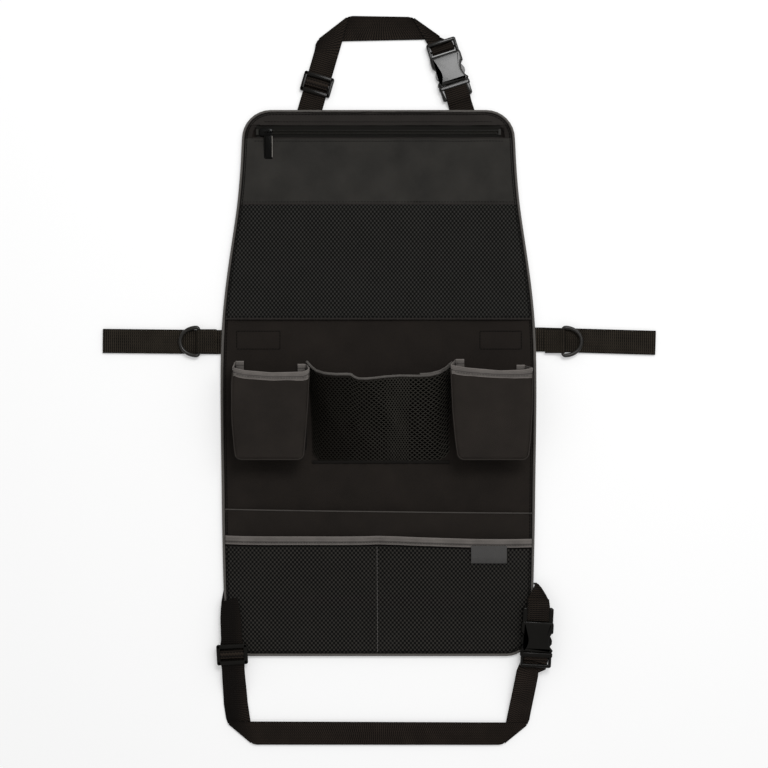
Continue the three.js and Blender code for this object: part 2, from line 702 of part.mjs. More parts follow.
function netPocket() {
  const rows = 7;
  return loft(
    Array.from({ length: rows + 1 }, (_, i) => {
      const share = i / rows;
      const height = NET_HEM + (NET_DEPTH - NET_HEM) * (1 - (1 - share) ** 3);
      return arch(netLip - (1 - share) * (NET_HEIGHT - NET_RIM_W), height, 0, NET_T);
    }),
  );
}

add("centre_net_pocket", netPocket(), FINISHES.mesh);
const netRim = [POCKET_TOP - NET_RIM_W, POCKET_TOP].map((y) =>
  arch(y, NET_DEPTH, -BINDING_PROUD, NET_T + BINDING_PROUD));
add("centre_net_binding", loft(netRim), FINISHES.binding);

// Lower pockets

const hemY = PIPING_W + GAP - TOP_Y;
const slipTop = TOP_Y - SLIP_DROP;
const meshTop = TOP_Y - MESH_DROP;
const rimBottom = meshTop - RIM_W + BINDING_T;
const smooth = (t) => t * t * (3 - 2 * t);
const rise = (y, top) => smooth(Math.min(1, (y - hemY) / (top - hemY)));
const hump = (u) => 1 - (2 * u - 1) ** 4;

const slipLow = (u, y) => FRONT_Z + SLIP_BELLY * hump(u) * rise(y, slipTop);
const meshLow = (u, y) => slipLow(u, y) + SLIP_T + MESH_BELLY * hump((2 * u) % 1) * rise(y, meshTop);

// A layer from one height to another, with its underside given by a function of share across and height.
function pocketLayer(heights, low, thickness) {
  const columns = 16;
  const rows = heights.map((y) => {
    const half = halfWidth(CLOTH_EDGE, y) - GAP;
    return Array.from({ length: columns + 1 }, (_, i) => {
      const z = low(i / columns, y);
      return [half * ((2 * i) / columns - 1), y, z, z + thickness];
    });
  });
  return layer(rows);
}

const pocketRows = [0, 6, 14, 26, 42, 62, 84].map((up) => hemY + up);
const meshRows = [...pocketRows, rimBottom, meshTop];
add("slip_pocket_front", pocketLayer([...meshRows, slipTop], slipLow, SLIP_T), FINISHES.cloth);
const cordRows = [slipTop, slipTop + SLIP_PIPING_W];
add("slip_pocket_piping", pocketLayer(cordRows, (u) => slipLow(u, slipTop), SLIP_PIPING_W), FINISHES.piping);
add("lower_mesh_front", pocketLayer(meshRows, meshLow, MESH_T), FINISHES.mesh);
const rimLow = (u, y) => meshLow(u, y) + MESH_T;
add("lower_mesh_binding", pocketLayer([rimBottom, meshTop], rimLow, BINDING_T), FINISHES.binding);

function sideLabel() {
  const rows = [rimBottom - GAP - LABEL.height, rimBottom - GAP].map((y) =>
    [-0.5, 0, 0.5].map((share) => {
      const x = LABEL.x + share * LABEL.width;
      const low = rimLow((x / halfWidth(CLOTH_EDGE, y) + 1) / 2, y) + GAP;
      return [x, y, low, low + LABEL.thickness];
    }));
  return layer(rows);
}

add("side_label", sideLabel(), FINISHES.label);

// Straps

add("top_strap_long", topLongStrap(), FINISHES.webbing);
add("top_strap_short", topShortStrap(), FINISHES.webbing);
add("lower_strap_long", lowerLongStrap(), FINISHES.webbing);
add("lower_strap_short", lowerShortStrap(), FINISHES.webbing);

// Side straps with their rings

const ringZ = CLOTH_Z + RING_WIRE_R + RING_CLEAR + RING_LOOP_T;

function ringLoop(side) {
  const outer = RING_WIRE_R + RING_CLEAR + RING_LOOP_T;
  const flat = 2 * RING_LOOP_T - outer;
  const section = new THREE.Shape([
    ...arc(0, 0, outer, 90, 270, 10),
    ...toVectors([[RING_LOOP_LENGTH, -outer], [RING_LOOP_LENGTH, flat], [RING_LOOP_LENGTH * 0.6, flat]]),
  ]);
  section.holes.push(new THREE.Path(arc(0, 0, RING_WIRE_R + RING_CLEAR, 0, 337.5, 15)));
  return new THREE.ExtrudeGeometry(section, { depth: WEBBING_W, bevelEnabled: false })
    .rotateX(Math.PI / 2)
    .rotateZ(side > 0 ? Math.PI : 0)
    .translate(ringX(side), SIDE_STRAP_Y + (side < 0 ? WEBBING_W / 2 : -WEBBING_W / 2), ringZ);
}

// The ring's middle line is a straight bar with round ends and half an ellipse; its wire is round.
function dRing(side) {
  const half = RING_OPENING / 2 + RING_WIRE_R;
  const bend = 16;
  const straight = half - RING_CORNER_R;
  const line = [
    ...Array.from({ length: bend + 1 }, (_, i) => {
      const angle = -Math.PI / 2 + (Math.PI * i) / bend;
      const reach = RING_CORNER_R + (RING_DEPTH - RING_CORNER_R) * Math.cos(angle);
      return new THREE.Vector2(reach, half * Math.sin(angle));
    }),
    ...arc(RING_CORNER_R, straight, RING_CORNER_R, 90, 180, 2).slice(1),
    new THREE.Vector2(0, 0),
    ...arc(RING_CORNER_R, -straight, RING_CORNER_R, 180, 270, 2).slice(0, -1),
  ].map((p) => new THREE.Vector2(side * p.x, p.y));
  const rings = line.map((p, i) => {
    const way = direction(line.at(i - 1), line[(i + 1) % line.length]);
    const out = sideOf(way);
    return Array.from({ length: 10 }, (_, k) => {
      const angle = (2 * Math.PI * k) / 10;
      const reach = RING_WIRE_R * Math.cos(angle);
      return new THREE.Vector3(p.x + out.x * reach, p.y + out.y * reach, RING_WIRE_R * Math.sin(angle));
    });
  });
  return loft(rings, true).translate(ringX(side), SIDE_STRAP_Y, ringZ);
}

for (const [name, side] of [["left", -1], ["right", 1]]) {
  const inner = [side * (WAIST_WIDTH / 2 - SIDE_STRAP_UNDER), SIDE_STRAP_Y];
  const outer = [side * SIDE_STRAP_REACH, SIDE_STRAP_Y];
  add(name + "_side_strap", webbing([corner(inner, FOAM_Z), corner(outer, FOAM_Z)]), FINISHES.webbing);
  add(name + "_ring_loop", ringLoop(side), FINISHES.webbing);
  add(name + "_d_ring", dRing(side), FINISHES.metal);
}

// Adjusters: a frame over the strap, and the strap's sewn end round the frame's centre bar

const loopLift = WEBBING_T + GAP;
const centreBarZ = loopLift + END_LOOP_T + GAP / 2;
const adjusterTop = centreBarZ + CENTRE_BAR_T;

function adjusterFrame() {
  const inside = ADJUSTER_WIDTH / 2 - ADJUSTER_RAIL;
  const full = roundedBox(ADJUSTER_WIDTH, ADJUSTER_LENGTH, ADJUSTER_CORNER_R, -ADJUSTER_BELOW, adjusterTop);
  const windowEnd = ADJUSTER_LENGTH / 2 - ADJUSTER_BAR;
  const throat = box([-inside, inside], [-ADJUSTER_LENGTH, ADJUSTER_LENGTH], [-1, WEBBING_T + 2 * GAP]);
  const window = box([-inside, inside], [-windowEnd, windowEnd], [-1, adjusterTop + 1]);
  const barY = [-CENTRE_BAR_W / 2, CENTRE_BAR_W / 2];
  const bar = box([-inside - 1, inside + 1], barY, [centreBarZ, adjusterTop]);
  return join(cut(full, throat, window), bar);
}

function endLoop() {
  const middle = centreBarZ + CENTRE_BAR_T / 2;
  const stadium = (margin) => {
    const radius = CENTRE_BAR_T / 2 + margin;
    const reach = (CENTRE_BAR_W - CENTRE_BAR_T) / 2 + GAP;
    return [
      ...arc(reach, 0, radius, -90, 90, 6),
      ...arc(-reach, 0, radius, 90, 270, 6),
    ];
  };
  const section = new THREE.Shape(stadium(GAP / 2 + END_LOOP_T));
  section.holes.push(new THREE.Path(stadium(GAP / 2)));
  return new THREE.ExtrudeGeometry(section, { depth: WEBBING_W, bevelEnabled: false })
    .rotateX(Math.PI / 2)
    .rotateZ(Math.PI / 2)
    .translate(-WEBBING_W / 2, 0, middle);
}

function addAdjuster(name, from, to, distance, z) {
  const holder = new THREE.Group();
  const [x, y] = along(from, to, distance);
  holder.position.set(x, y, z);
  holder.rotation.z = Math.atan2(to[1] - from[1], to[0] - from[0]) - Math.PI / 2;
  organizer.add(holder);
  add(name + "_adjuster", adjusterFrame(), FINISHES.plastic, holder);
  add(name + "_adjuster_loop", endLoop(), FINISHES.webbing, holder);
}

addAdjuster("top", TOP_LONG_ROOT, TOP_LONG_CORNER, TOP_ADJUSTER_AT, FOAM_Z);
addAdjuster("lower", LOWER_LEFT_START, LOWER_LEFT_CORNER, LOWER_ADJUSTER_AT, STRAP_Z);

// Buckles, built with the socket's webbing end at the origin and the axis along -Y

const buckleHalf = BUCKLE_WIDTH / 2;
const webHalf = WEBBING_W / 2 + 2 * GAP;

const bothSides = (points) =>
  toVectors([...points.map(([x, s]) => [x, -s]), ...points.map(([x, s]) => [-x, -s]).reverse()]);

// The webbing window of one end: bars across it, and the webbing's throat under the end bar.
function webEnd(body, end, inward) {
  const span = (a, b) => [-(end + inward * a), -(end + inward * b)].sort((p, q) => p - q);
  const across = [-webHalf, webHalf];
  const opened = cut(
    body,
    box(across, span(END_BAR, WEB_WINDOW), [-1, BUCKLE_T + 1]),
    box(across, span(-1, END_BAR + SINK), [-1, BAR_LIFT]),
  );
  const barLow = WEB_LEVEL + RUN_GAP;
  const weaveBar = box(
    [-webHalf - SINK, webHalf + SINK],
    span(WEAVE_BAR_AT, WEAVE_BAR_AT + WEAVE_BAR),
    [barLow, barLow + WEAVE_BAR_T],
  );
  return join(opened, weaveBar);
}

const hollowHalf = buckleHalf - BUCKLE_WALL;
const hollowStart = WEB_WINDOW + 9;
const waistStart = hollowStart + 3;
const waistEnd = BUCKLE_MOUTH - 3;

function buckleSocket() {
  const bends = 8;
  const waist = Array.from({ length: bends + 1 }, (_, i) => {
    const depth = (buckleHalf - BUCKLE_WAIST / 2) * Math.sin((Math.PI * i) / bends);
    return [buckleHalf - depth, waistStart + ((waistEnd - waistStart) * i) / bends];
  });
  const outline = bothSides([
    [buckleHalf - 3, 0],
    [buckleHalf - 1, 2],
    [buckleHalf - 1, WEB_WINDOW + 1],
    [buckleHalf, WEB_WINDOW + 3],
    ...waist,
    [buckleHalf, BUCKLE_MOUTH],
  ]);
  const hollow = box(
    [-hollowHalf, hollowHalf],
    [-BUCKLE_MOUTH - 1, -hollowStart],
    [BUCKLE_PLATE_T, BUCKLE_T - BUCKLE_PLATE_T],
  );
  return webEnd(cut(slab(outline, 0, BUCKLE_T), hollow), 0, 1);
}

function bucklePlug() {
  const base = BUCKLE_MOUTH + GAP;
  const outline = bothSides([
    [buckleHalf, base],
    [buckleHalf, BUCKLE_LENGTH - 4],
    [buckleHalf - 3, BUCKLE_LENGTH],
  ]);
  const low = BUCKLE_PLATE_T + ARM_CLEAR;
  const high = BUCKLE_T - BUCKLE_PLATE_T - ARM_CLEAR;
  const armOut = hollowHalf - 2 * ARM_CLEAR;
  const barb = buckleHalf - 1.5;
  const tip = hollowStart + 3;
  const arm = (side) =>
    slab(
      toVectors([
        [armOut, base + 1], [armOut, waistEnd], [armOut - 1.2, waistEnd - 3], [barb, waistEnd - 6.5],
        [barb, waistStart + 7], [armOut, waistStart + 5], [armOut - 3, tip], [armOut - 4, tip + 1],
        [armOut - 3.5, base + 1],
      ].map(([x, s]) => [side * x, -s])),
      low,
      high,
    );
  const tongue = box([-TONGUE_W / 2, TONGUE_W / 2], [-base - 1, -tip - 4], [low, high]);
  const body = webEnd(slab(outline, 0, BUCKLE_T), BUCKLE_LENGTH, -1);
  return join(body, arm(1), arm(-1), tongue);
}

function addBuckle(name, { at, lean }, z) {
  const holder = new THREE.Group();
  holder.position.set(at[0], at[1], z);
  holder.rotation.z = THREE.MathUtils.degToRad(lean);
  organizer.add(holder);
  add(name + "_buckle_socket", buckleSocket(), FINISHES.plastic, holder);
  add(name + "_buckle_plug", bucklePlug(), FINISHES.plastic, holder);
}

addBuckle("top", TOP_BUCKLE, 0);
addBuckle("lower", LOWER_BUCKLE, STRAP_Z - WEB_LEVEL);

export default organizer;
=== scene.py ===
"""A black seat-back organizer for a car, lying on its back in plain studio light."""

import logging
import math
from collections.abc import Callable, Iterable, Mapping, Sequence
from dataclasses import dataclass, field
from enum import Enum

import bmesh
import bpy
import numpy as np
from mathutils import Matrix, Vector, noise


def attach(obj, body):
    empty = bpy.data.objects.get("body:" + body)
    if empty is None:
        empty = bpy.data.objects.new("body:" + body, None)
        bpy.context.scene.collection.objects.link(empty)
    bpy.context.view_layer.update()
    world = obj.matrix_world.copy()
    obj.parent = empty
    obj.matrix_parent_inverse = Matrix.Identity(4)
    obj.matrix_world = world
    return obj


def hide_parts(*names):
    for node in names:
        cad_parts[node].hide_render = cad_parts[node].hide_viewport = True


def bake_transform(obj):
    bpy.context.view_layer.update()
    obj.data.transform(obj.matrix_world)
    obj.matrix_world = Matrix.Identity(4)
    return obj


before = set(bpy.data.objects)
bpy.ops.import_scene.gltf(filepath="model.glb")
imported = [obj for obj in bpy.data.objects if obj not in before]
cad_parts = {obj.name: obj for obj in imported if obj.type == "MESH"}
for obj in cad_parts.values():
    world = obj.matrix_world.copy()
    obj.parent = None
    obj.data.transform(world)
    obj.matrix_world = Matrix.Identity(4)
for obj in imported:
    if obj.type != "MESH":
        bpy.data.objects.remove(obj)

LOG = logging.getLogger("organizer")
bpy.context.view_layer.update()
MM = 0.001
FLAT = "flat"

Rgb = tuple[float, float, float]
Pair = tuple[float, float]
Point = tuple[float, float, float]
Height = Callable[[float, float], float]
Rows = Sequence[Sequence[Sequence[float]]] | np.ndarray


class Body(Enum):
    """The rigid bodies that the pieces ride on."""

    PANEL = "panel"
    ZIP_SLIDER = "zip_slider"
    ZIP_PULL = "zip_pull"
    LEFT_RING = "left_d_ring"
    RIGHT_RING = "right_d_ring"
    TOP_ADJUSTER = "top_adjuster"
    LOWER_ADJUSTER = "lower_adjuster"
    TOP_BUCKLE = "top_buckle"
    LOWER_BUCKLE = "lower_buckle"


class Side(Enum):
    """Left or right, as the direction of X."""

    LEFT = -1
    RIGHT = 1

    @property
    def label(self) -> str:
        """The side's name in the names of pieces."""
        return self.name.lower()


def linear(rgb: Rgb) -> tuple[float, float, float, float]:
    """Turns a colour as a screen shows it into the linear one that a shader takes.

    Args:
        rgb: Red, green and blue from 0 to 255.

    Returns:
        Linear red, green and blue, with an alpha of 1.
    """
    shares = [c / 255 for c in rgb]
    red, green, blue = (s / 12.92 if s <= 0.04045 else ((s + 0.055) / 1.055) ** 2.4 for s in shares)
    return red, green, blue, 1.0


def tinted(rgb: Rgb, factor: float) -> Rgb:
    """Makes a colour lighter or darker.

    Args:
        rgb: Red, green and blue from 0 to 255.
        factor: What each is multiplied by.

    Returns:
        The new colour.
    """
    return rgb[0] * factor, rgb[1] * factor, rgb[2] * factor


def smooth(t: float) -> float:
    """Eases a share from 0 to 1, and holds it there outside."""
    t = min(1.0, max(0.0, t))
    return t * t * (3 - 2 * t)


def ripple(x: float, y: float, length: Pair, depth: float, seed: float) -> float:
    """Gives the height of soft, uneven waves in cloth.

    Args:
        x: Place across, in millimetres.
        y: Place along, in millimetres.
        length: Length of the waves across and along.
        depth: Height of the waves.
        seed: Which waves of many.

    Returns:
        The height, in millimetres.
    """
    return depth * noise.noise(Vector((x / length[0], y / length[1], seed)))


def distances(line: np.ndarray) -> np.ndarray:
    """Gives how far along a line each of its points lies."""
    return np.r_[0, np.cumsum(np.linalg.norm(np.diff(line, axis=0), axis=1))]


def span(side: int, inner: float, outer: float) -> Pair:
    """Gives two distances on one side of the middle as places, lower first."""
    low, high = sorted((side * inner, side * outer))
    return low, high


def add_object(name: str, data: bpy.types.ID) -> bpy.types.Object:
    """Adds an object with its mesh, lamp or camera to the scene."""
    made = bpy.data.objects.new(name, data)
    bpy.context.scene.collection.objects.link(made)
    return made


# Shaders


class Value:
    """A socket that carries one number per point, which sums can be written with."""

    def __init__(self, shader: "Shader", socket: bpy.types.NodeSocket) -> None:
        """Wraps a socket of a shader."""
        self.shader = shader
        self.socket = socket

    def _math(self, operation: str, *operands: "Value | float") -> "Value":
        """Adds a Math node.

        Args:
            operation: The node's operation.
            operands: Its values, in order.

        Returns:
            The node's result.
        """
        made = self.shader.node("ShaderNodeMath", {"operation": operation}, dict(enumerate(operands)))
        return Value(self.shader, made.outputs[0])

    def __add__(self, other: "Value | float") -> "Value":
        """Returns the sum."""
        return self._math("ADD", self, other)

    __radd__ = __add__

    def __sub__(self, other: "Value | float") -> "Value":
        """Returns the difference."""
        return self._math("SUBTRACT", self, other)

    def __rsub__(self, other: float) -> "Value":
        """Returns the difference from a number."""
        return self._math("SUBTRACT", other, self)

    def __mul__(self, other: "Value | float") -> "Value":
        """Returns the product."""
        return self._math("MULTIPLY", self, other)

    __rmul__ = __mul__

    def sine(self) -> "Value":
        """Returns the sine."""
        return self._math("SINE", self)

    def near(self, place: float, reach: float) -> "Value":
        """Returns 1 where the value is at a place, eased down to 0 at a distance from it."""
        return 1.0 - self._math("ABSOLUTE", self - place).clear_of(0.0, reach)

    def clear_of(self, low: float, high: float) -> "Value":
        """Returns how far the value is on its way from low to high, from 0 to 1, eased."""
        made = self.shader.node(
            "ShaderNodeMapRange",
            {"interpolation_type": "SMOOTHSTEP"},
            {"Value": self, "From Min": low, "From Max": high},
        )
        return Value(self.shader, made.outputs[0])


class Shader:
    """The nodes of one material, built from plain values and links."""

    def __init__(self, name: str) -> None:
        """Starts an empty material."""
        self.material = bpy.data.materials.new(name)
        self.material.use_nodes = True
        self.tree = self.material.node_tree
        self.tree.nodes.clear()

    def node(
        self,
        kind: str,
        settings: Mapping[str, object] | None = None,
        inputs: Mapping[str | int, object] | None = None,
    ) -> bpy.types.Node:
        """Adds a node.

        Args:
            kind: The node's type.
            settings: Its properties, which are set first.
            inputs: A value or a link for each socket that needs one.

        Returns:
            The node.
        """
        made = self.tree.nodes.new(kind)
        for key, value in (settings or {}).items():
            setattr(made, key, value)
        for key, value in (inputs or {}).items():
            link = value.socket if isinstance(value, Value) else value
            if isinstance(link, bpy.types.NodeSocket):
                self.tree.links.new(link, made.inputs[key])
            else:
                made.inputs[key].default_value = link
        return made

    def flat(self) -> tuple[Value, Value]:
        """Gives the place in the cloth before it was sewn.

        Returns:
            The two coordinates, in millimetres.
        """
        place = self.node("ShaderNodeUVMap", {"uv_map": FLAT})
        parts = self.node("ShaderNodeSeparateXYZ", {}, {0: place.outputs[0]})
        return Value(self, parts.outputs[0]) * 1000.0, Value(self, parts.outputs[1]) * 1000.0

    def cloud(self, scale: float, detail: float = 3.0) -> Value:
        """Adds a soft noise through the object.

        Args:
            scale: Patches per metre.
            detail: How many finer layers it has.

        Returns:
            Its value, from 0 to 1.
        """
        place = self.node("ShaderNodeTexCoord")
        made = self.node(
            "ShaderNodeTexNoise",
            {},
            {"Vector": place.outputs["Object"], "Scale": scale, "Detail": detail},
        )
        return Value(self, made.outputs[0])

    def mix(self, share: "Value | float", low: object, high: object) -> bpy.types.NodeSocket:
        """Mixes two colours.

        Args:
            share: How much of the second.
            low: The first colour, or a link to it.
            high: The second.

        Returns:
            The mixed colour.
        """
        made = self.node("ShaderNodeMix", {"data_type": "RGBA"}, {0: share, 6: low, 7: high})
        return made.outputs[2]

    def faded(self, color: bpy.types.NodeSocket, left: Rgb | None, fade: Pair) -> bpy.types.NodeSocket:
        """Lets a colour fade to another one on the panel's left.

        Args:
            color: The colour on the right.
            left: The colour on the left, or nothing where it stays the same.
            fade: Where the fade starts and ends, in metres from the panel's middle.

        Returns:
            The colour.
        """
        if left is None:
            return color
        place = self.node("ShaderNodeTexCoord").outputs["Object"]
        across = Value(self, self.node("ShaderNodeSeparateXYZ", {}, {0: place}).outputs[0])
        return self.mix(across.clear_of(*fade), linear(left), color)

    def relief(self, height: Value, distance: float) -> bpy.types.NodeSocket:
        """Turns a height into a relief of the surface.

        Args:
            height: The height, where 1 is the full distance.
            distance: The relief's depth, in millimetres.

        Returns:
            The normal.
        """
        inputs = {"Height": height, "Distance": distance * MM, "Strength": 1.0}
        return self.node("ShaderNodeBump", {}, inputs).outputs[0]

    def surface(self, **inputs: object) -> bpy.types.Material:
        """Ends the material in a plain surface.

        Args:
            inputs: The surface's sockets, with underscores for the spaces in their names.

        Returns:
            The material.
        """
        named = {key.replace("_", " "): value for key, value in inputs.items()}
        skin = self.node("ShaderNodeBsdfPrincipled", {}, named)
        self.node("ShaderNodeOutputMaterial", {}, {"Surface": skin.outputs[0]})
        return self.material


# Finishes


@dataclass(frozen=True)
class Woven:
    """Plain woven cloth: threads over and under each other, with faint random blotches of lighter and darker
    tone that stand for wear, and on the nylon for painted sheen.
    """

    name: str
    color: Rgb
    pitch: float = 0.9
    relief: float = 0.12
    roughness: float = 0.85
    specular: float = 0.12
    wear_and_sheen: float = 0.12

    def material(self) -> bpy.types.Material:
        """Builds the material."""
        shader = Shader(self.name)
        across, along = shader.flat()
        turn = 2 * math.pi / self.pitch
        weave = (across * turn).sine() * (along * turn).sine()
        tone = weave * 0.18 + shader.cloud(38.0) * 0.9 + shader.cloud(9.0, 1.0) * 0.6 - 0.25
        low, high = tinted(self.color, 1 - self.wear_and_sheen), tinted(self.color, 1 + self.wear_and_sheen)
        return shader.surface(
            Base_Color=shader.mix(tone, linear(low), linear(high)),
            Roughness=self.roughness,
            Specular_IOR_Level=self.specular,
            Normal=shader.relief(weave, self.relief),
        )


@dataclass(frozen=True)
class OpenMesh:
    """Stiff knitted mesh: round holes in staggered rows between crossing threads, the holes only colour,
    painted near black as the shade behind them.
    """

    name: str
    thread: Rgb
    hole: Rgb
    across: float = 3.94
    along: float = 4.74
    relief: float = 0.7

    def material(self) -> bpy.types.Material:
        """Builds the material."""
        shader = Shader(self.name)
        x, y = shader.flat()
        columns = (x * (2 * math.pi / self.across) + math.pi / 2).sine()
        rows = (y * (2 * math.pi / self.along) + math.pi / 2).sine()
        lattice = columns * rows
        # The holes are colour only: near black, painted shade of the pocket's inside seen through them.
        hole = lattice.clear_of(-0.45, 0.4)
        threads = (x * 9.0).sine() * (y * 9.0).sine() * 0.1
        tone = hole + threads + (shader.cloud(45.0) - 0.5) * 0.35
        return shader.surface(
            Base_Color=shader.mix(tone.clear_of(0.0, 1.0), linear(self.thread), linear(self.hole)),
            Roughness=0.8,
            Specular_IOR_Level=0.1,
            Normal=shader.relief(1.0 - hole, self.relief),
        )


@dataclass(frozen=True)
class Ribbed:
    """Narrow woven tape or webbing with ribs across it and a firm edge."""

    name: str
    color: Rgb
    rib: float = 2.1
    column: float = 3.1
    relief: float = 0.35
    contrast: float = 0.34
    roughness: float = 0.8
    specular: float = 0.1
    span: Pair = (-12.5, 12.5)
    edge: float = -0.5
    groove: float | None = None
    left: Rgb | None = None
    fade: Pair = (-0.152, -0.13)

    def material(self) -> bpy.types.Material:
        """Builds the material."""
        shader = Shader(self.name)
        across, along = shader.flat()
        columns = (across * (2 * math.pi / self.column)).sine()
        ribs = (along * (2 * math.pi / self.rib) + columns * 0.7).sine()
        height = ribs * 0.5 + columns * 0.08 + 0.5
        tone = height * 0.85 + shader.cloud(60.0) * 0.5 - 0.18
        # The tone shifts at both edges: lighter on the bound tapes, as a painted highlight on their rolled
        # edges, and darker on the webbing.
        tone = tone + (across.near(self.span[0], 1.3) + across.near(self.span[1], 1.3)) * self.edge
        # The stitched groove is sunk and also darkened in colour: painted shade in the groove.
        if self.groove is not None:
            sewn = across.near(self.groove, 0.9)
            tone, height = tone - sewn * 0.6, height - sewn * 1.5
        low, high = tinted(self.color, 1 - self.contrast), tinted(self.color, 1 + self.contrast)
        color = shader.faded(shader.mix(tone, linear(low), linear(high)), self.left, self.fade)
        return shader.surface(
            Base_Color=color,
            Roughness=self.roughness,
            Specular_IOR_Level=self.specular,
            Normal=shader.relief(height, self.relief),
        )


@dataclass(frozen=True)
class Moulded:
    """Moulded plastic or enamel: smooth, a little uneven, duller where hands wear it."""

    name: str
    color: Rgb
    roughness: float = 0.3
    specular: float = 0.5
    grain: float = 0.03

    def material(self) -> bpy.types.Material:
        """Builds the material."""
        shader = Shader(self.name)
        wear = shader.cloud(55.0)
        return shader.surface(
            Base_Color=shader.mix(wear, linear(tinted(self.color, 0.85)), linear(tinted(self.color, 1.2))),
            Roughness=wear * 0.14 + (self.roughness - 0.07),
            Specular_IOR_Level=self.specular,
            Normal=shader.relief(shader.cloud(1800.0, 2.0), self.grain),
        )


@dataclass(frozen=True)
class Spun:
    """Sewing thread, net thread or cut foam: one colour with a fine uneven grain."""

    name: str
    color: Rgb
    grain: float = 900.0
    relief: float = 0.08
    roughness: float = 0.8
    specular: float = 0.15
    left: Rgb | None = None
    fade: Pair = (-0.058, 0.02)

    def material(self) -> bpy.types.Material:
        """Builds the material, which fades to another colour on the left where one is given."""
        shader = Shader(self.name)
        grain = shader.cloud(self.grain, 2.0)
        color = shader.mix(grain, linear(tinted(self.color, 0.8)), linear(tinted(self.color, 1.2)))
        color = shader.faded(color, self.left, self.fade)
        return shader.surface(
            Base_Color=color,
            Roughness=self.roughness,
            Specular_IOR_Level=self.specular,
            Normal=shader.relief(grain, self.relief),
        )


class Finishes:
    """Every finish of the organizer, each built once."""

    def __init__(self) -> None:
        """Builds the materials."""
        self.lining = Woven("lining_cloth", (34, 31, 29)).material()
        # Near-black sheet behind the net: painted shade of the pocket's inside, a little lighter on the left
        # and darkest on the right.
        self.inner = Spun("painted_shade_cloth", (4, 4, 3), specular=0.02, left=(13, 11, 8)).material()
        self.foam = Spun("foam_edge", (84, 83, 79), 1500.0, 0.2).material()
        self.band = Woven("band_cloth", (41, 38, 36)).material()
        # The nylon's strong random blotches of tone are painted sheen in place of the light and shade on its
        # folds.
        self.nylon = Woven(
            "coated_nylon", (38, 36.5, 34), roughness=0.6, specular=0.13, relief=0.08, wear_and_sheen=0.34
        ).material()
        self.middle = Woven("panel_cloth", (31, 27, 24), wear_and_sheen=0.2).material()
        self.slip = Woven("slip_pocket_cloth", (32.5, 28.5, 25.5), wear_and_sheen=0.18).material()
        self.pocket = Woven("bottle_pocket_cloth", (37, 33, 30), wear_and_sheen=0.2).material()
        self.gusset = Woven("gusset_cloth", (22, 20, 18)).material()
        # Both meshes have near-black holes, painted shade of the pocket inside behind them.
        self.upper_mesh = OpenMesh("upper_mesh", (44, 43, 41), (5, 5, 4)).material()
        self.lower_mesh = OpenMesh("lower_mesh", (46, 44, 41), (4, 4, 4), across=4.2).material()
        # The net threads fade darker towards the left: painted shade where the net sinks into the dark beside
        # the left pocket.
        self.net = Spun("net_thread", (44, 42, 38), 1200.0, 0.1, 0.7, 0.12, left=(23, 21, 17)).material()
        # The bindings' lighter edges are painted highlights and their darker groove is painted shade.
        bound = {"contrast": 0.36, "relief": 0.14, "column": 2.2, "edge": 0.5}
        rim = Ribbed("grosgrain_binding", (88, 84, 81), 1.1, span=(0.0, 9.4), groove=4.3, **bound)
        self.binding = rim.material()
        self.net_rim = Ribbed("net_rim_tape", (80, 77, 74), 1.1, 2.2, 0.14, 0.3, edge=0.0).material()
        self.seam = Woven("seam_cloth", (46, 42, 39)).material()
        hem = Ribbed("mesh_binding", (88, 84, 81), 1.1, span=(0.0, 8.8), groove=3.0, **bound)
        self.hem_binding = hem.material()
        corded = {"contrast": 0.14, "relief": 0.1, "column": 1.6, "edge": 0.0}
        self.piping = Ribbed("edge_piping", (85, 82, 79), 1.0, **corded).material()
        self.cord = Ribbed("slip_pocket_cord", (70, 67, 64), 1.0, **corded).material()
        strong = {"contrast": 0.95, "relief": 0.7}
        self.webbing = Ribbed("strap_webbing", (21, 17.5, 14.5), **strong).material()
        self.side_webbing = Ribbed("side_strap_webbing", (27, 24, 20), **strong).material()
        seat = Ribbed("seat_strap_webbing", (23.5, 19.5, 16.5), left=(14, 10.5, 8), **strong)
        self.seat_webbing = seat.material()
        self.tape = Ribbed("zip_tape", (19, 18, 16), 0.8, 1.2, 0.08, 0.12, edge=0.0).material()
        self.coil = Moulded("zip_coil", (25, 24, 20), 0.45, 0.12).material()
        self.plastic = Moulded("buckle_plastic", (16, 15, 13), 0.22, 0.1, grain=0.012).material()
        self.top_plastic = Moulded("top_buckle_plastic", (16, 15, 13), 0.2, 0.27, grain=0.012).material()
        self.ring = Moulded("ring_enamel", (26, 24, 21), 0.3, 0.3).material()
        self.pull = Moulded("pull_enamel", (5, 5, 4), 0.16, 0.1).material()
        # Pale enamel for a strip on the pull's right rim: a painted highlight.
        self.pull_highlight = Moulded("painted_highlight_enamel", (112, 109, 104), 0.3, 0.3).material()
        # Dark thread, whose colour also makes the dark cords that are painted shade beside the piping and
        # under the mesh pocket's rim.
        self.dark_thread_and_shade = Spun("dark_thread_and_shade", (11, 10, 9), specular=0.05).material()
        self.rim_thread = Spun("rim_thread", (60, 57, 55)).material()
        self.pale_thread = Spun("pale_thread", (86, 84, 82)).material()
        self.label = Woven("satin_label", (63, 62, 61), 0.5, 0.04, 0.45, 0.2).material()


# Mesh building


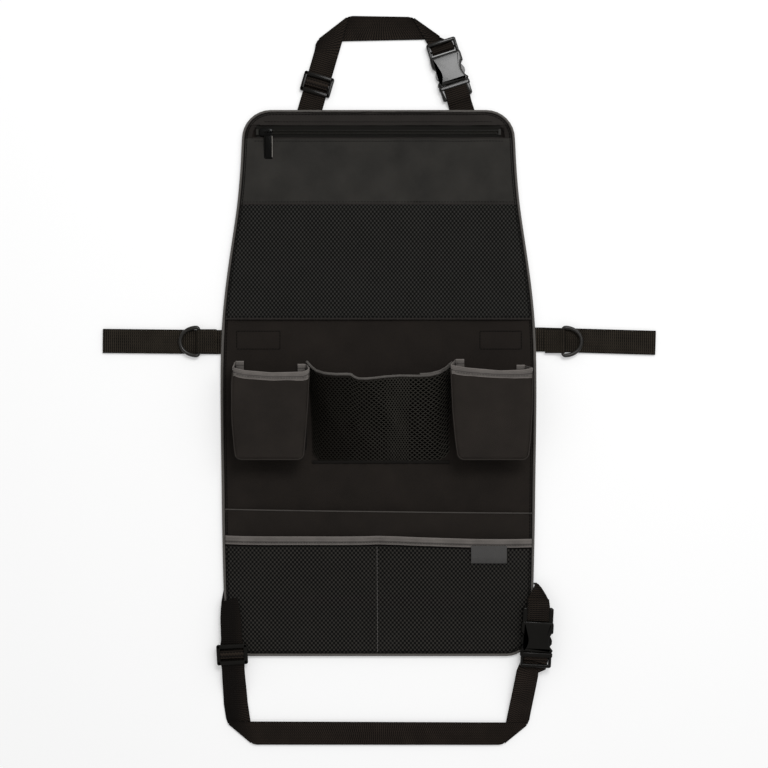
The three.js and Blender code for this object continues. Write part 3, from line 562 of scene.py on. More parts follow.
def inset_ring(points: Sequence[Pair], distance: float) -> list[Pair]:
    """Moves a closed line that runs anticlockwise inwards, point for point.

    Args:
        points: The line's corners.
        distance: How far each side moves.

    Returns:
        The new corners.
    """
    line = np.array(points, float)
    back = line - np.roll(line, 1, 0)
    ahead = np.roll(line, -1, 0) - line
    back /= np.linalg.norm(back, axis=1, keepdims=True)
    ahead /= np.linalg.norm(ahead, axis=1, keepdims=True)
    normal = np.stack([-back[:, 1] - ahead[:, 1], back[:, 0] + ahead[:, 0]], 1)
    normal /= np.linalg.norm(normal, axis=1, keepdims=True)
    share = normal[:, 1] * back[:, 0] - normal[:, 0] * back[:, 1]
    moved = line + normal * (distance / np.maximum(share, 0.3))[:, None]
    return [(float(x), float(y)) for x, y in moved]


def rounded_rectangle(width: float, height: float, radius: float) -> list[Pair]:
    """Gives the corners of a rectangle with round corners about the origin.

    Args:
        width: Its size across.
        height: Its size along.
        radius: The corners' radius.

    Returns:
        The corners, anticlockwise.
    """
    points = []
    for turn, (sx, sy) in enumerate(((1, 1), (-1, 1), (-1, -1), (1, -1))):
        for step in range(5):
            angle = math.radians(90 * turn + 22.5 * step)
            x = sx * (width / 2 - radius) + radius * math.cos(angle)
            points.append((x, sy * (height / 2 - radius) + radius * math.sin(angle)))
    return points


@dataclass
class Form:
    """The surface of one piece in millimetres, with each point's place in the flat cloth."""

    points: list[Point] = field(default_factory=list)
    faces: list[tuple[int, ...]] = field(default_factory=list)
    flats: list[Pair] = field(default_factory=list)

    def _skin(self, rings: np.ndarray, flats: np.ndarray, closed: bool = False) -> int:
        """Adds the faces between closed rings of points.

        Args:
            rings: The points, ring by ring.
            flats: Their places in the flat cloth.
            closed: Whether the last ring joins the first.

        Returns:
            The number of the first point.
        """
        count, size = rings.shape[:2]
        base = len(self.points)
        self.points += [tuple(map(float, p)) for p in rings.reshape(-1, 3)]
        self.flats += [tuple(map(float, f)) for f in flats.reshape(-1, 2)]
        for ring in range(count if closed else count - 1):
            here, there = base + ring * size, base + (ring + 1) % count * size
            for i in range(size):
                j = (i + 1) % size
                self.faces.append((here + i, here + j, there + j, there + i))
        return base

    def loft(self, rings: np.ndarray, flats: np.ndarray, closed: bool = False) -> None:
        """Joins closed rings of points in turn.

        Args:
            rings: The points, ring by ring.
            flats: Their places in the flat cloth.
            closed: Whether the last ring joins the first; else both ends are filled.
        """
        count, size = rings.shape[:2]
        base = self._skin(rings, flats, closed)
        if closed:
            return
        for start in (base, base + (count - 1) * size):
            for i in range(size // 2 - 1):
                far = start + size - 1 - i
                self.faces.append((start + i, far, far - 1, start + i + 1))

    def cloth(self, rows: Rows, thickness: float, flat: Rows | None = None) -> None:
        """Adds a sheet with a thickness under its upper side.

        Args:
            rows: Rows of points on its upper side.
            thickness: How thick it is.
            flat: Each point's place in the flat cloth, or nothing where it lies flat already.
        """
        top = np.asarray(rows, float)
        across, along = np.gradient(top, axis=1), np.gradient(top, axis=0)
        normal = np.cross(across, along)
        normal /= np.maximum(np.linalg.norm(normal, axis=2, keepdims=True), 1e-9)
        under = top - normal * thickness
        place = top[..., :2] if flat is None else np.asarray(flat, float)
        rings = np.concatenate([top, under[:, ::-1]], 1)
        self.loft(rings, np.concatenate([place, place[:, ::-1]], 1))

    def tube(
        self,
        path: Sequence[Point],
        radius: float | Sequence[float],
        sides: int = 10,
        closed: bool = False,
        flatten: float = 1.0,
    ) -> None:
        """Adds a round bar or cord along a path.

        Args:
            path: The points of its middle line.
            radius: Its radius, or its radius at each point.
            sides: How many sides its section has.
            closed: Whether it is a ring.
            flatten: How high its section is against its width.
        """
        line = np.array(path, float)
        if closed:
            way = np.roll(line, -1, 0) - np.roll(line, 1, 0)
            steps = np.linalg.norm(line - np.roll(line, 1, 0), axis=1)
            steps[0] = 0
        else:
            way = np.gradient(line, axis=0)
            steps = np.r_[0, np.linalg.norm(np.diff(line, axis=0), axis=1)]
        way /= np.linalg.norm(way, axis=1, keepdims=True)
        side = np.cross(way, (0, 0, 1.0))
        upright = np.linalg.norm(side, axis=1) < 1e-6
        side[upright] = (1.0, 0, 0)
        side /= np.linalg.norm(side, axis=1, keepdims=True)
        up = np.cross(side, way)
        angle = np.arange(sides) * 2 * math.pi / sides
        radii = np.broadcast_to(np.asarray(radius, float), len(line))[:, None]
        rings = (
            line[:, None]
            + side[:, None] * (radii * np.cos(angle))[..., None]
            + up[:, None] * (radii * flatten * np.sin(angle))[..., None]
        )
        reach = np.cumsum(steps)
        flats = np.stack(np.broadcast_arrays(angle * radii, reach[:, None]), 2)
        self.loft(rings, flats, closed)

    def block(
        self,
        outline: Sequence[Pair],
        low: float,
        high: float,
        edge: float = 0.6,
        crown: float = 0.0,
    ) -> None:
        """Adds an upright solid with round edges.

        Args:
            outline: Its corners from above, anticlockwise.
            low: Height of its underside.
            high: Height of its top.
            edge: Radius of its edges.
            crown: How much its top rises inwards of its edge.
        """
        turns = [math.radians(a) for a in (0, 30, 60, 90)]
        levels = [(edge * (1 - math.sin(a)), low + edge * (1 - math.cos(a))) for a in turns]
        levels += [(edge * (1 - math.cos(a)), high - edge * (1 - math.sin(a))) for a in turns]
        if crown:
            levels += [(edge + 1.0, high + crown * 0.6), (edge + 2.4, high + crown)]
        shell = np.array([[(x, y, z) for x, y in inset_ring(outline, depth)] for depth, z in levels])
        base, size = self._skin(shell, shell[..., :2]), len(outline)
        for start in (base, base + (len(levels) - 1) * size):
            self.faces.append(tuple(range(start, start + size)))

    def box(self, xs: Pair, ys: Pair, zs: Pair, edge: float = 0.5, corner: float = 0.6) -> None:
        """Adds a bar or plate with round edges.

        Args:
            xs: Its ends across.
            ys: Its ends along.
            zs: Its underside and top.
            edge: Radius of its upper and lower edges.
            corner: Radius of its upright edges.
        """
        outline = rounded_rectangle(xs[1] - xs[0], ys[1] - ys[0], corner)
        middle = ((xs[0] + xs[1]) / 2, (ys[0] + ys[1]) / 2)
        self.block([(x + middle[0], y + middle[1]) for x, y in outline], zs[0], zs[1], edge)

    def stitches(
        self,
        path: Sequence[Pair],
        height: Height,
        pitch: float = 3.2,
        length: float = 2.2,
        radius: float = 0.28,
    ) -> None:
        """Adds a row of stitches that lie on a surface.

        Args:
            path: The row's line from above.
            height: The surface's height at a place.
            pitch: From one stitch to the next.
            length: Of one stitch.
            radius: Of the thread.
        """
        line = np.array(path, float)
        reach = distances(line)
        for middle in np.arange(pitch / 2, reach[-1], pitch):
            at = [middle + length * share for share in (-0.5, -0.25, 0.25, 0.5)]
            sunk = (0.3, 0.0, 0.0, 0.3)
            spots = [tuple(float(np.interp(d, reach, line[:, k])) for k in (0, 1)) for d in at]
            points = [(x, y, height(x, y) + radius * 0.4 - s) for (x, y), s in zip(spots, sunk)]
            self.tube(points, radius, 6)

    def placed(self, matrix: Matrix) -> "Form":
        """Moves the whole form.

        Args:
            matrix: The movement, in millimetres.

        Returns:
            The form itself.
        """
        self.points = [tuple(matrix @ Vector(p)) for p in self.points]
        return self

    def piece(
        self,
        name: str,
        material: bpy.types.Material,
        slot: str,
        body: Body = Body.PANEL,
        replaces: Iterable[str] = (),
        sharp: float = 38.0,
        bend: tuple[Body, Point, Point] | None = None,
    ) -> bpy.types.Object:
        """Makes the object and lets it ride on its body; where a bend is given, it rides on no body and its
        placement is baked in.

        Args:
            name: The object's name.
            material: Its finish.
            slot: The record's material slot; not used.
            body: What it rides on.
            replaces: The plain solids that it stands for.
            sharp: Angle above which an edge stays sharp, in degrees.
            bend: The second body, and the places in metres where the bend starts and ends.

        Returns:
            The object.
        """
        mesh = bpy.data.meshes.new(name)
        mesh.from_pydata([(x * MM, y * MM, z * MM) for x, y, z in self.points], [], self.faces)
        layer = mesh.uv_layers.new(name=FLAT)
        corners = np.zeros(len(mesh.loops), int)
        mesh.loops.foreach_get("vertex_index", corners)
        layer.data.foreach_set("uv", (np.array(self.flats)[corners] * MM).ravel())
        shell = bmesh.new()
        shell.from_mesh(mesh)
        bmesh.ops.recalc_face_normals(shell, faces=shell.faces)
        shell.to_mesh(mesh)
        shell.free()
        mesh.materials.append(material)
        mesh.shade_smooth()
        mesh.set_sharp_from_angle(angle=math.radians(sharp))
        made = add_object(name, mesh)
        if bend is None:
            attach(made, body.value)
        else:
            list(bend[1:])
            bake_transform(made)
        if replaces:
            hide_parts(*replaces)
        LOG.info("%s: %d faces on %s", name, len(mesh.polygons), body.value)
        return made


# Panel


@dataclass(frozen=True)
class PanelShape:
    """The panel's outline and the heights of its layers, in millimetres."""

    height: float = 568.0
    top_corner: float = 30.0
    hem_corner: float = 27.0
    piping: float = 3.0
    front: float = 3.5
    zip_y: float = 260.5
    zip_above: float = 7.6
    zip_below: float = 6.4
    mesh_seam: float = 185.8
    pocket_seam: float = 65.8
    slip_top: float = -132.5
    mesh_top: float = -160.0
    hem_seam: float = -280.2
    slip_belly: float = 6.2
    mesh_belly: float = 8.0
    upper_level: float = 5.6
    nylon_level: float = 5.75
    pull_level: float = 5.9
    pull_end: float = 231.0
    tilt: float = 0.0125

    def side(self) -> list[Pair]:
        """Gives the right edge from the middle of the top to the middle of the hem."""
        top = self.height / 2
        knots = [
            (142.0, top - self.top_corner),
            (146.5, top - 94),
            (163.0, top - 228),
            (163.0, top - 403),
            (160.0, self.hem_corner - top),
        ]
        line = [(0.0, top), (60.0, top)]
        for step in range(9):
            angle = math.radians(90 - 11.25 * step)
            x = knots[0][0] - self.top_corner * (1 - math.cos(angle))
            line.append((x, knots[0][1] + self.top_corner * math.sin(angle)))
        for part in range(4):
            before, start = knots[max(0, part - 1)], knots[part]
            end, after = knots[part + 1], knots[min(4, part + 2)]
            for step in range(1, 15):
                line.append(self._curve(before, start, end, after, step / 14))
        for step in range(1, 9):
            angle = math.radians(-11.25 * step)
            x = knots[4][0] - self.hem_corner * (1 - math.cos(angle))
            line.append((x, knots[4][1] + self.hem_corner * math.sin(angle)))
        return line + [(60.0, -top), (0.0, -top)]

    @staticmethod
    def _curve(before: Pair, start: Pair, end: Pair, after: Pair, t: float) -> Pair:
        """Gives a point of a smooth line through four places, between the middle two."""
        place = []
        for a, b, c, d in zip(before, start, end, after):
            go, come = (c - a) / 2, (d - b) / 2
            bend = (2 * b - 2 * c + go + come) * t**3 + (3 * c - 3 * b - 2 * go - come) * t * t
            place.append(bend + go * t + b)
        return place[0], place[1]

    def ring(self, inset: float) -> list[Pair]:
        """Gives the whole outline, moved inwards.

        Args:
            inset: How far it lies inside the panel's edge.

        Returns:
            The corners, anticlockwise.
        """
        right = self.side()
        left = [(-x, y) for x, y in right[1:-1]][::-1]
        return inset_ring((right + left)[::-1], inset)

    def share(self, x: float, y: float) -> float:
        """Gives the share of the way across, from 0 at the left edge to 1."""
        return min(1.0, max(0.0, (x / half_width(y) + 1) / 2))

    def cloth(self, x: float, y: float) -> float:
        """Gives the height of the plain front cloth."""
        wave = ripple(x, y, (70, 34), 0.55, 3.1) + ripple(x, y, (24, 60), 0.25, 7.7)
        level = 0.2 + wave * smooth((half_width(y) - abs(x)) / 14)
        return self.front + (min(level, 0.1) if abs(y - self.zip_y) < 8 else level)

    def upper(self, x: float, y: float) -> float:
        """Gives the height of the zip pocket's front, which lies low under the pull's end position."""
        edge = smooth((half_width(y) - abs(x)) / 16)
        crease = 1.9 * math.exp(-(((x - 45 + 0.35 * (y - 225)) / 8) ** 2)) * smooth((y - 195) / 30)
        crease += 1.2 * math.exp(-(((x - 12 - 0.5 * (y - 225)) / 6) ** 2)) * smooth((250 - y) / 30)
        crease *= smooth((262 - y) / 8)
        nylon = smooth((y - self.mesh_seam) / 4)
        wave = ripple(x, y, (26, 46), 2.3, 1.3) + ripple(x + 0.4 * y, y, (13, 30), 0.7, 5.2) - crease
        calm = (1 - nylon) * ripple(x, y, (80, 60), 0.8, 2.2)
        level = self.upper_level + edge * (1.1 + nylon * wave * 0.9 + calm)
        under_pull = smooth((x - 100) / 8) * smooth((y - 222) / 6) * smooth((256 - y) / 2)
        level = max(level, self.nylon_level if y > self.mesh_seam else self.upper_level)
        return level - under_pull * max(0.0, level - self.pull_level - 0.12 * max(0.0, y - self.pull_end))

    def slip(self, x: float, y: float) -> float:
        """Gives the height of the slip pocket's outside."""
        u = self.share(x, y)
        rise = smooth((y - self.hem_seam) / (self.slip_top - self.hem_seam))
        belly = self.slip_belly * (1 - (2 * u - 1) ** 4) * rise
        return self.front + 0.75 + belly + ripple(x, y, (60, 20), 0.5, 9.4)

    def mesh(self, x: float, y: float) -> float:
        """Gives the height of the wide mesh pocket's outside."""
        half = self.share(x, y) * 2 % 1
        rise = smooth((y - self.hem_seam) / (self.mesh_top - self.hem_seam))
        wave = ripple(x, y, (50, 30), 0.7, 4.4) * rise
        return self.slip(x, y) + 1.0 + self.mesh_belly * (1 - (2 * half - 1) ** 4) * rise + wave


PANEL = PanelShape()
EDGE = sorted((q, p) for p, q in PANEL.ring(PANEL.piping) if p > -0.5)
EDGE_Y, EDGE_X = (np.array(v) for v in zip(*EDGE))


def half_width(y: float) -> float:
    """Gives half the width of the cloth inside the piping at a height."""
    return float(np.interp(y, EDGE_Y, EDGE_X))


@dataclass
class Panel:
    """The padded panel: backing, core, front cloth, piping and the seams on it."""

    finishes: Finishes
    step: float = 4.0
    columns: int = 81
    cord_radius: float = 1.45
    cord_level: float = 3.7
    seam_shade_inset: float = 3.7
    stitch_inset: float = 5.4

    def spread(self, low: float, high: float, height: Height, margin: float = 0.0) -> np.ndarray:
        """Gives rows of points over the panel between two levels.

        Args:
            low: The lower level.
            high: The upper one.
            height: The surface's height at a place.
            margin: How far the sheet stops inside the piping.

        Returns:
            The points, row by row.
        """
        rows = max(2, round((high - low) / self.step) + 1)
        levels = list(np.linspace(low, high, rows))
        for extra in (6.5, 3.0, 1.2, 0.4):
            for end in (-self.edge(), self.edge()):
                spot = end - math.copysign(extra, end)
                if low < spot < high:
                    levels.append(spot)
        points = []
        for y in sorted(levels):
            half = half_width(y) - margin
            points.append([(half * t, y, height(half * t, y)) for t in np.linspace(-1, 1, self.columns)])
        return np.array(points)

    @staticmethod
    def edge() -> float:
        """Gives the height of the cloth's top edge inside the piping."""
        return PANEL.height / 2 - PANEL.piping

    def build(self) -> None:
        """Builds the panel's own layers."""
        edge = self.edge() - 0.2
        back = Form()
        back.block(PANEL.ring(0.4), 0.0, 1.1, 0.45)
        back.piece("backing_cloth", self.finishes.lining, "lining", replaces=["back_lining"])
        core = Form()
        core.block(PANEL.ring(1.0), 1.0, 2.9, 0.3)
        core.piece("foam_core", self.finishes.foam, "foam", replaces=["foam_interlining"])
        front = Form()
        front.cloth(self.spread(-edge, edge, PANEL.cloth), 1.2)
        made = front.piece("front_cloth", self.finishes.middle, "cloth", replaces=["front_base_cloth"])
        self.piping()
        self.seams()

    def piping(self) -> None:
        """Builds the corded edge and the tape that holds it."""
        cord = Form()
        ring = PANEL.ring(1.5)
        path = []
        for (x0, y0), (x1, y1) in zip(ring, ring[1:] + ring[:1]):
            pieces = max(1, round(math.dist((x0, y0), (x1, y1)) / 4))
            for i in range(pieces):
                path.append((x0 + (x1 - x0) * i / pieces, y0 + (y1 - y0) * i / pieces, self.cord_level))
        cord.tube(path, self.cord_radius, 10, closed=True)
        cord.piece("piping_cord", self.finishes.piping, "piping", replaces=["edge_piping"])
        tape = Form()
        walls = ((2.6, 5.3), (2.6, 3.6), (10.5, 3.6), (10.5, 5.3))
        loops = np.array([[(x, y, z) for x, y in PANEL.ring(inset)] for inset, z in walls]).transpose(1, 0, 2)
        keep = loops[loops[:, 0, 1] > PANEL.pocket_seam]
        split = int(np.argmax(keep[:, 0, 0] > 0)) if keep[0, 0, 0] < 0 else 0
        tape.loft(np.roll(keep, -split, 0), np.roll(keep, -split, 0)[..., :2])
        tape.piece("seam_tape", self.finishes.lining, "lining", replaces=["upper_pocket_seam_tape"])

    def seams(self) -> None:
        """Builds the stitch rows along the edge, a dark cord beside the piping that is painted shade of the
        seam's groove, and the sewn boxes over the side straps.
        """
        rows = Form()
        ring = PANEL.ring(self.stitch_inset)
        line = PANEL.ring(self.seam_shade_inset)

        def height(x: float, y: float) -> float:
            """Gives the height of whatever lies on top there."""
            if y > PANEL.pocket_seam:
                return PANEL.upper(x, y)
            if y > PANEL.slip_top:
                return PANEL.cloth(x, y)
            return PANEL.slip(x, y) if y > PANEL.mesh_top else PANEL.mesh(x, y)

        rows.stitches(ring + ring[:1], height, 3.4, 2.5, 0.42)
        # A continuous dark cord beside the piping, not thread: painted shade of the groove along the seam.
        rows.tube([(x, y, height(x, y) - 0.1) for x, y in line], 0.45, 6, closed=True)
        for middle, width in ((-125.0, 45.0), (127.0, 43.0)):
            corners = [(-1, -1), (1, -1), (1, 1), (-1, 1), (-1, -1)]
            box = [(middle + sx * width / 2, 44.6 + sy * 9.3) for sx, sy in corners]
            rows.stitches(box, PANEL.cloth, 3.0, 2.2, 0.4)
        rows.piece("edge_stitches_and_shade", self.finishes.dark_thread_and_shade, "cloth")


@dataclass
class ZipPocket:
    """The zip pocket across the top, with its nylon and mesh front and its zip."""

    finishes: Finishes
    panel: Panel
    start: float = -124.0
    end: float = 124.2
    bridge: float = 9.8
    tooth: float = 1.35

    def build(self) -> None:
        """Builds the pocket's front and the zip."""
        top = self.panel.edge() - 0.2
        above, below = PANEL.zip_y + PANEL.zip_above, PANEL.zip_y - PANEL.zip_below
        strips = (
            ("top_band", above, top, self.finishes.band, "cloth", "top_band_cloth", 0.0153),
            ("nylon_front", PANEL.mesh_seam + 0.3, below, self.finishes.nylon, "nylon",
             "nylon_zip_panel", 0.0697),
            ("upper_mesh_front", PANEL.pocket_seam, PANEL.mesh_seam - 0.3, self.finishes.upper_mesh, "mesh",
             "upper_mesh_panel", 0.1194),
        )
        for name, low, high, finish, slot, node, length in strips:
            form = Form()
            form.cloth(self.panel.spread(low, high, PANEL.upper, 0.3), 1.0)
            made = form.piece(name, finish, slot, replaces=[node])
            2 * half_width((low + high) / 2) * MM
        self.hems()
        self.tapes()
        self.coils()
        self.slider()
        self.pull()

    def hems(self) -> None:
        """Builds the turned edges along the zip and the seams of the mesh."""
        turned = Form()
        above, below = PANEL.zip_y + PANEL.zip_above, PANEL.zip_y - PANEL.zip_below
        for y, inset in ((above, 12), (below, 8), (PANEL.mesh_seam, 0.5)):
            half = half_width(y) - inset
            path = [(x, y, PANEL.upper(x, y) - 0.15) for x in np.linspace(-half, half, 90)]
            turned.tube(path, 0.75, 8, flatten=0.7)
        half = half_width(PANEL.pocket_seam) - 0.5
        line = np.linspace(-half, half, 90)
        seam = PANEL.pocket_seam
        turned.tube([(x, seam + 0.8, PANEL.upper(x, seam) - 0.2) for x in line], 1.0, 8)
        turned.piece("turned_hems", self.finishes.band, "cloth")
        rows = Form()
        for y, inset in (
            (PANEL.zip_y + 10.6, 14),
            (PANEL.zip_y - 9.4, 10),
            (PANEL.mesh_seam + 2.2, 3),
            (PANEL.pocket_seam + 3.0, 3),
        ):
            half = half_width(y) - inset
            rows.stitches([(-half, y), (half, y)], PANEL.upper, 3.2, 2.3, 0.26)
        end_rows = (-128.2, 128.6, 130.2)
        for x in end_rows:
            rows.stitches([(x, PANEL.zip_y - 4.6), (x, PANEL.zip_y + 4.6)], lambda *_: 6.4, 1.2, 1.6, 0.3)
        rows.piece("zip_pocket_stitches", self.finishes.dark_thread_and_shade, "cloth")

    def tapes(self) -> None:
        """Builds the two woven tapes that carry the coils."""
        for label, side in (("upper", 1), ("lower", -1)):
            form = Form()
            levels = [PANEL.zip_y + side * d for d in (1.0, 3.0, 6.0, 9.6)]
            drop = {y: 5.45 - 0.9 * smooth((abs(y - PANEL.zip_y) - 6) / 3.6) for y in levels}
            points = [[(x, y, drop[y]) for x in np.linspace(-127, 127, 60)] for y in sorted(levels)]
            form.cloth(points, 0.7)
            form.piece("tape_" + label, self.finishes.tape, "cloth", replaces=["zip_tape_" + label])

    def coils(self) -> None:
        """Builds the rows of drawn loops that mesh along the zip."""
        for label, side in (("upper", 1), ("lower", -1)):
            form = Form()
            first = self.start + 3.3 + (self.tooth / 2 if side > 0 else 0)
            for x in np.arange(first, self.end - 0.6, self.tooth):
                path = [
                    (x, PANEL.zip_y + side * 2.3, 5.75),
                    (x, PANEL.zip_y + side * 2.1, 6.6),
                    (x + 0.15, PANEL.zip_y + side * 1.1, 6.75),
                    (x + 0.15, PANEL.zip_y + side * 0.05, 6.45),
                ]
                form.tube(path, 0.38, 6)
            back = [(x, PANEL.zip_y + side * 1.9, 5.95) for x in (self.start + 3.3, self.end)]
            form.tube(back, 0.45, 6)
            form.piece("coil_" + label, self.finishes.coil, "coil", replaces=["zip_coil_" + label])

    def slider(self) -> None:
        """Builds the slider with its bridge."""
        y, left = PANEL.zip_y, self.start
        form = Form()
        shield = [
            (left + 0.2, y + 2.6), (left + 0.2, y - 2.6), (left + 2.6, y - 4.2), (left + 10.5, y - 3.9),
            (left + 13.8, y - 2.6), (left + 13.8, y + 2.6), (left + 10.5, y + 3.9), (left + 2.6, y + 4.2),
        ]
        form.block(shield, 7.2, 8.3, 0.45, 0.15)
        form.block(shield, 3.8, 4.5, 0.25)
        form.box((left + 0.3, left + 2.9), (y - 0.65, y + 0.65), (4.2, 7.6), 0.2, 0.3)
        for ys in ((y - 3.6, y - 2.7), (y + 2.7, y + 3.6)):
            form.box((left + 1.2, left + 12.4), ys, (5.8, 7.6), 0.2, 0.3)
        middle = left + self.bridge
        bridge = [
            (middle + 3.9 * math.cos(a), y, 8.1 + 2.6 * math.sin(a) ** 0.6)
            for a in np.linspace(math.pi - 0.001, 0.001, 15)
        ]
        form.tube(bridge, 0.58, 10)
        form.piece("slider_body", self.finishes.pull, "metal", Body.ZIP_SLIDER, ["zip_slider"])

    def pull(self) -> None:
        """Builds the pull: a rimmed tab that hangs on the bridge, with a pale strip along its right rim as a
        painted highlight.
        """
        form = Form()
        form.box((-4.4, 4.4), (-28.0, -2.9), (-0.6, 0.0), 0.25, 1.2)
        rim = [(x, y - 15.45, 0.2) for x, y in rounded_rectangle(7.6, 23.8, 1.2)]
        form.tube(rim, 0.75, 8, closed=True)
        neck = [(-2.0, -3.6, 0), (-1.9, -1.4, 0.2), (-1.2, 0.6, 0.5), (0, 1.1, 0.6)]
        neck += [(-x, y, z) for x, y, z in neck[-2::-1]]
        form.tube(neck, 0.62, 10)
        spot = Matrix.Translation((self.start + self.bridge, PANEL.zip_y, 10.2))
        tilt = spot @ Matrix.Rotation(0.122, 4, "X")
        form.placed(tilt).piece("pull_tab", self.finishes.pull, "metal", Body.ZIP_PULL, ["zip_pull"])
        # A pale strip along the right rim: painted highlight where the light from the right catches the pull.
        edge = Form()
        edge.tube([(4.0, -4.6, 0.75), (4.1, -15.0, 0.8), (4.0, -26.4, 0.75)], 0.42, 8)
        edge.placed(tilt).piece("pull_painted_highlight", self.finishes.pull_highlight, "metal", Body.ZIP_PULL)


# Pockets


@dataclass(frozen=True)
class PocketShape:
    """The edges of a bottle pocket's front, each as a line of places in millimetres."""

    left: tuple[Pair, ...]
    right: tuple[Pair, ...]
    mouth: tuple[Pair, ...]
    rim: tuple[Pair, ...]
    foot: Pair
    foot_mouth: Pair


LEFT_POCKET = PocketShape(
    left=((-78.0, -145.2), (-60.0, -147.2), (-35.0, -149.3), (0.0, -149.2), (16.0, -148.2)),
    right=((-78.0, -76.2), (-50.0, -73.8), (-20.0, -71.6), (16.0, -69.9)),
    mouth=((-148.2, 16.0), (-137.2, 13.1), (-107.8, 10.7), (-75.4, 11.6), (-69.9, 15.2)),
    rim=((-148.2, 7.1), (-137.2, 4.5), (-107.8, 2.4), (-75.4, 2.4), (-69.9, 4.8)),
    foot=(-149.5, -74.5),
    foot_mouth=(22.0, 19.0),
)
RIGHT_POCKET = PocketShape(
    left=((-78.0, 81.3), (-60.0, 78.5), (-30.0, 75.6), (18.5, 73.3)),
    right=((-78.0, 152.3), (-60.0, 154.5), (-30.0, 156.4), (18.5, 157.2)),
    mouth=((73.3, 18.5), (89.6, 15.7), (123.6, 12.7), (148.0, 13.6), (157.2, 15.4)),
    rim=((73.3, 9.6), (89.6, 7.0), (115.0, 5.5), (135.0, 4.6), (157.2, 5.0)),
    foot=(79.5, 153.0),
    foot_mouth=(24.0, 18.0),
)


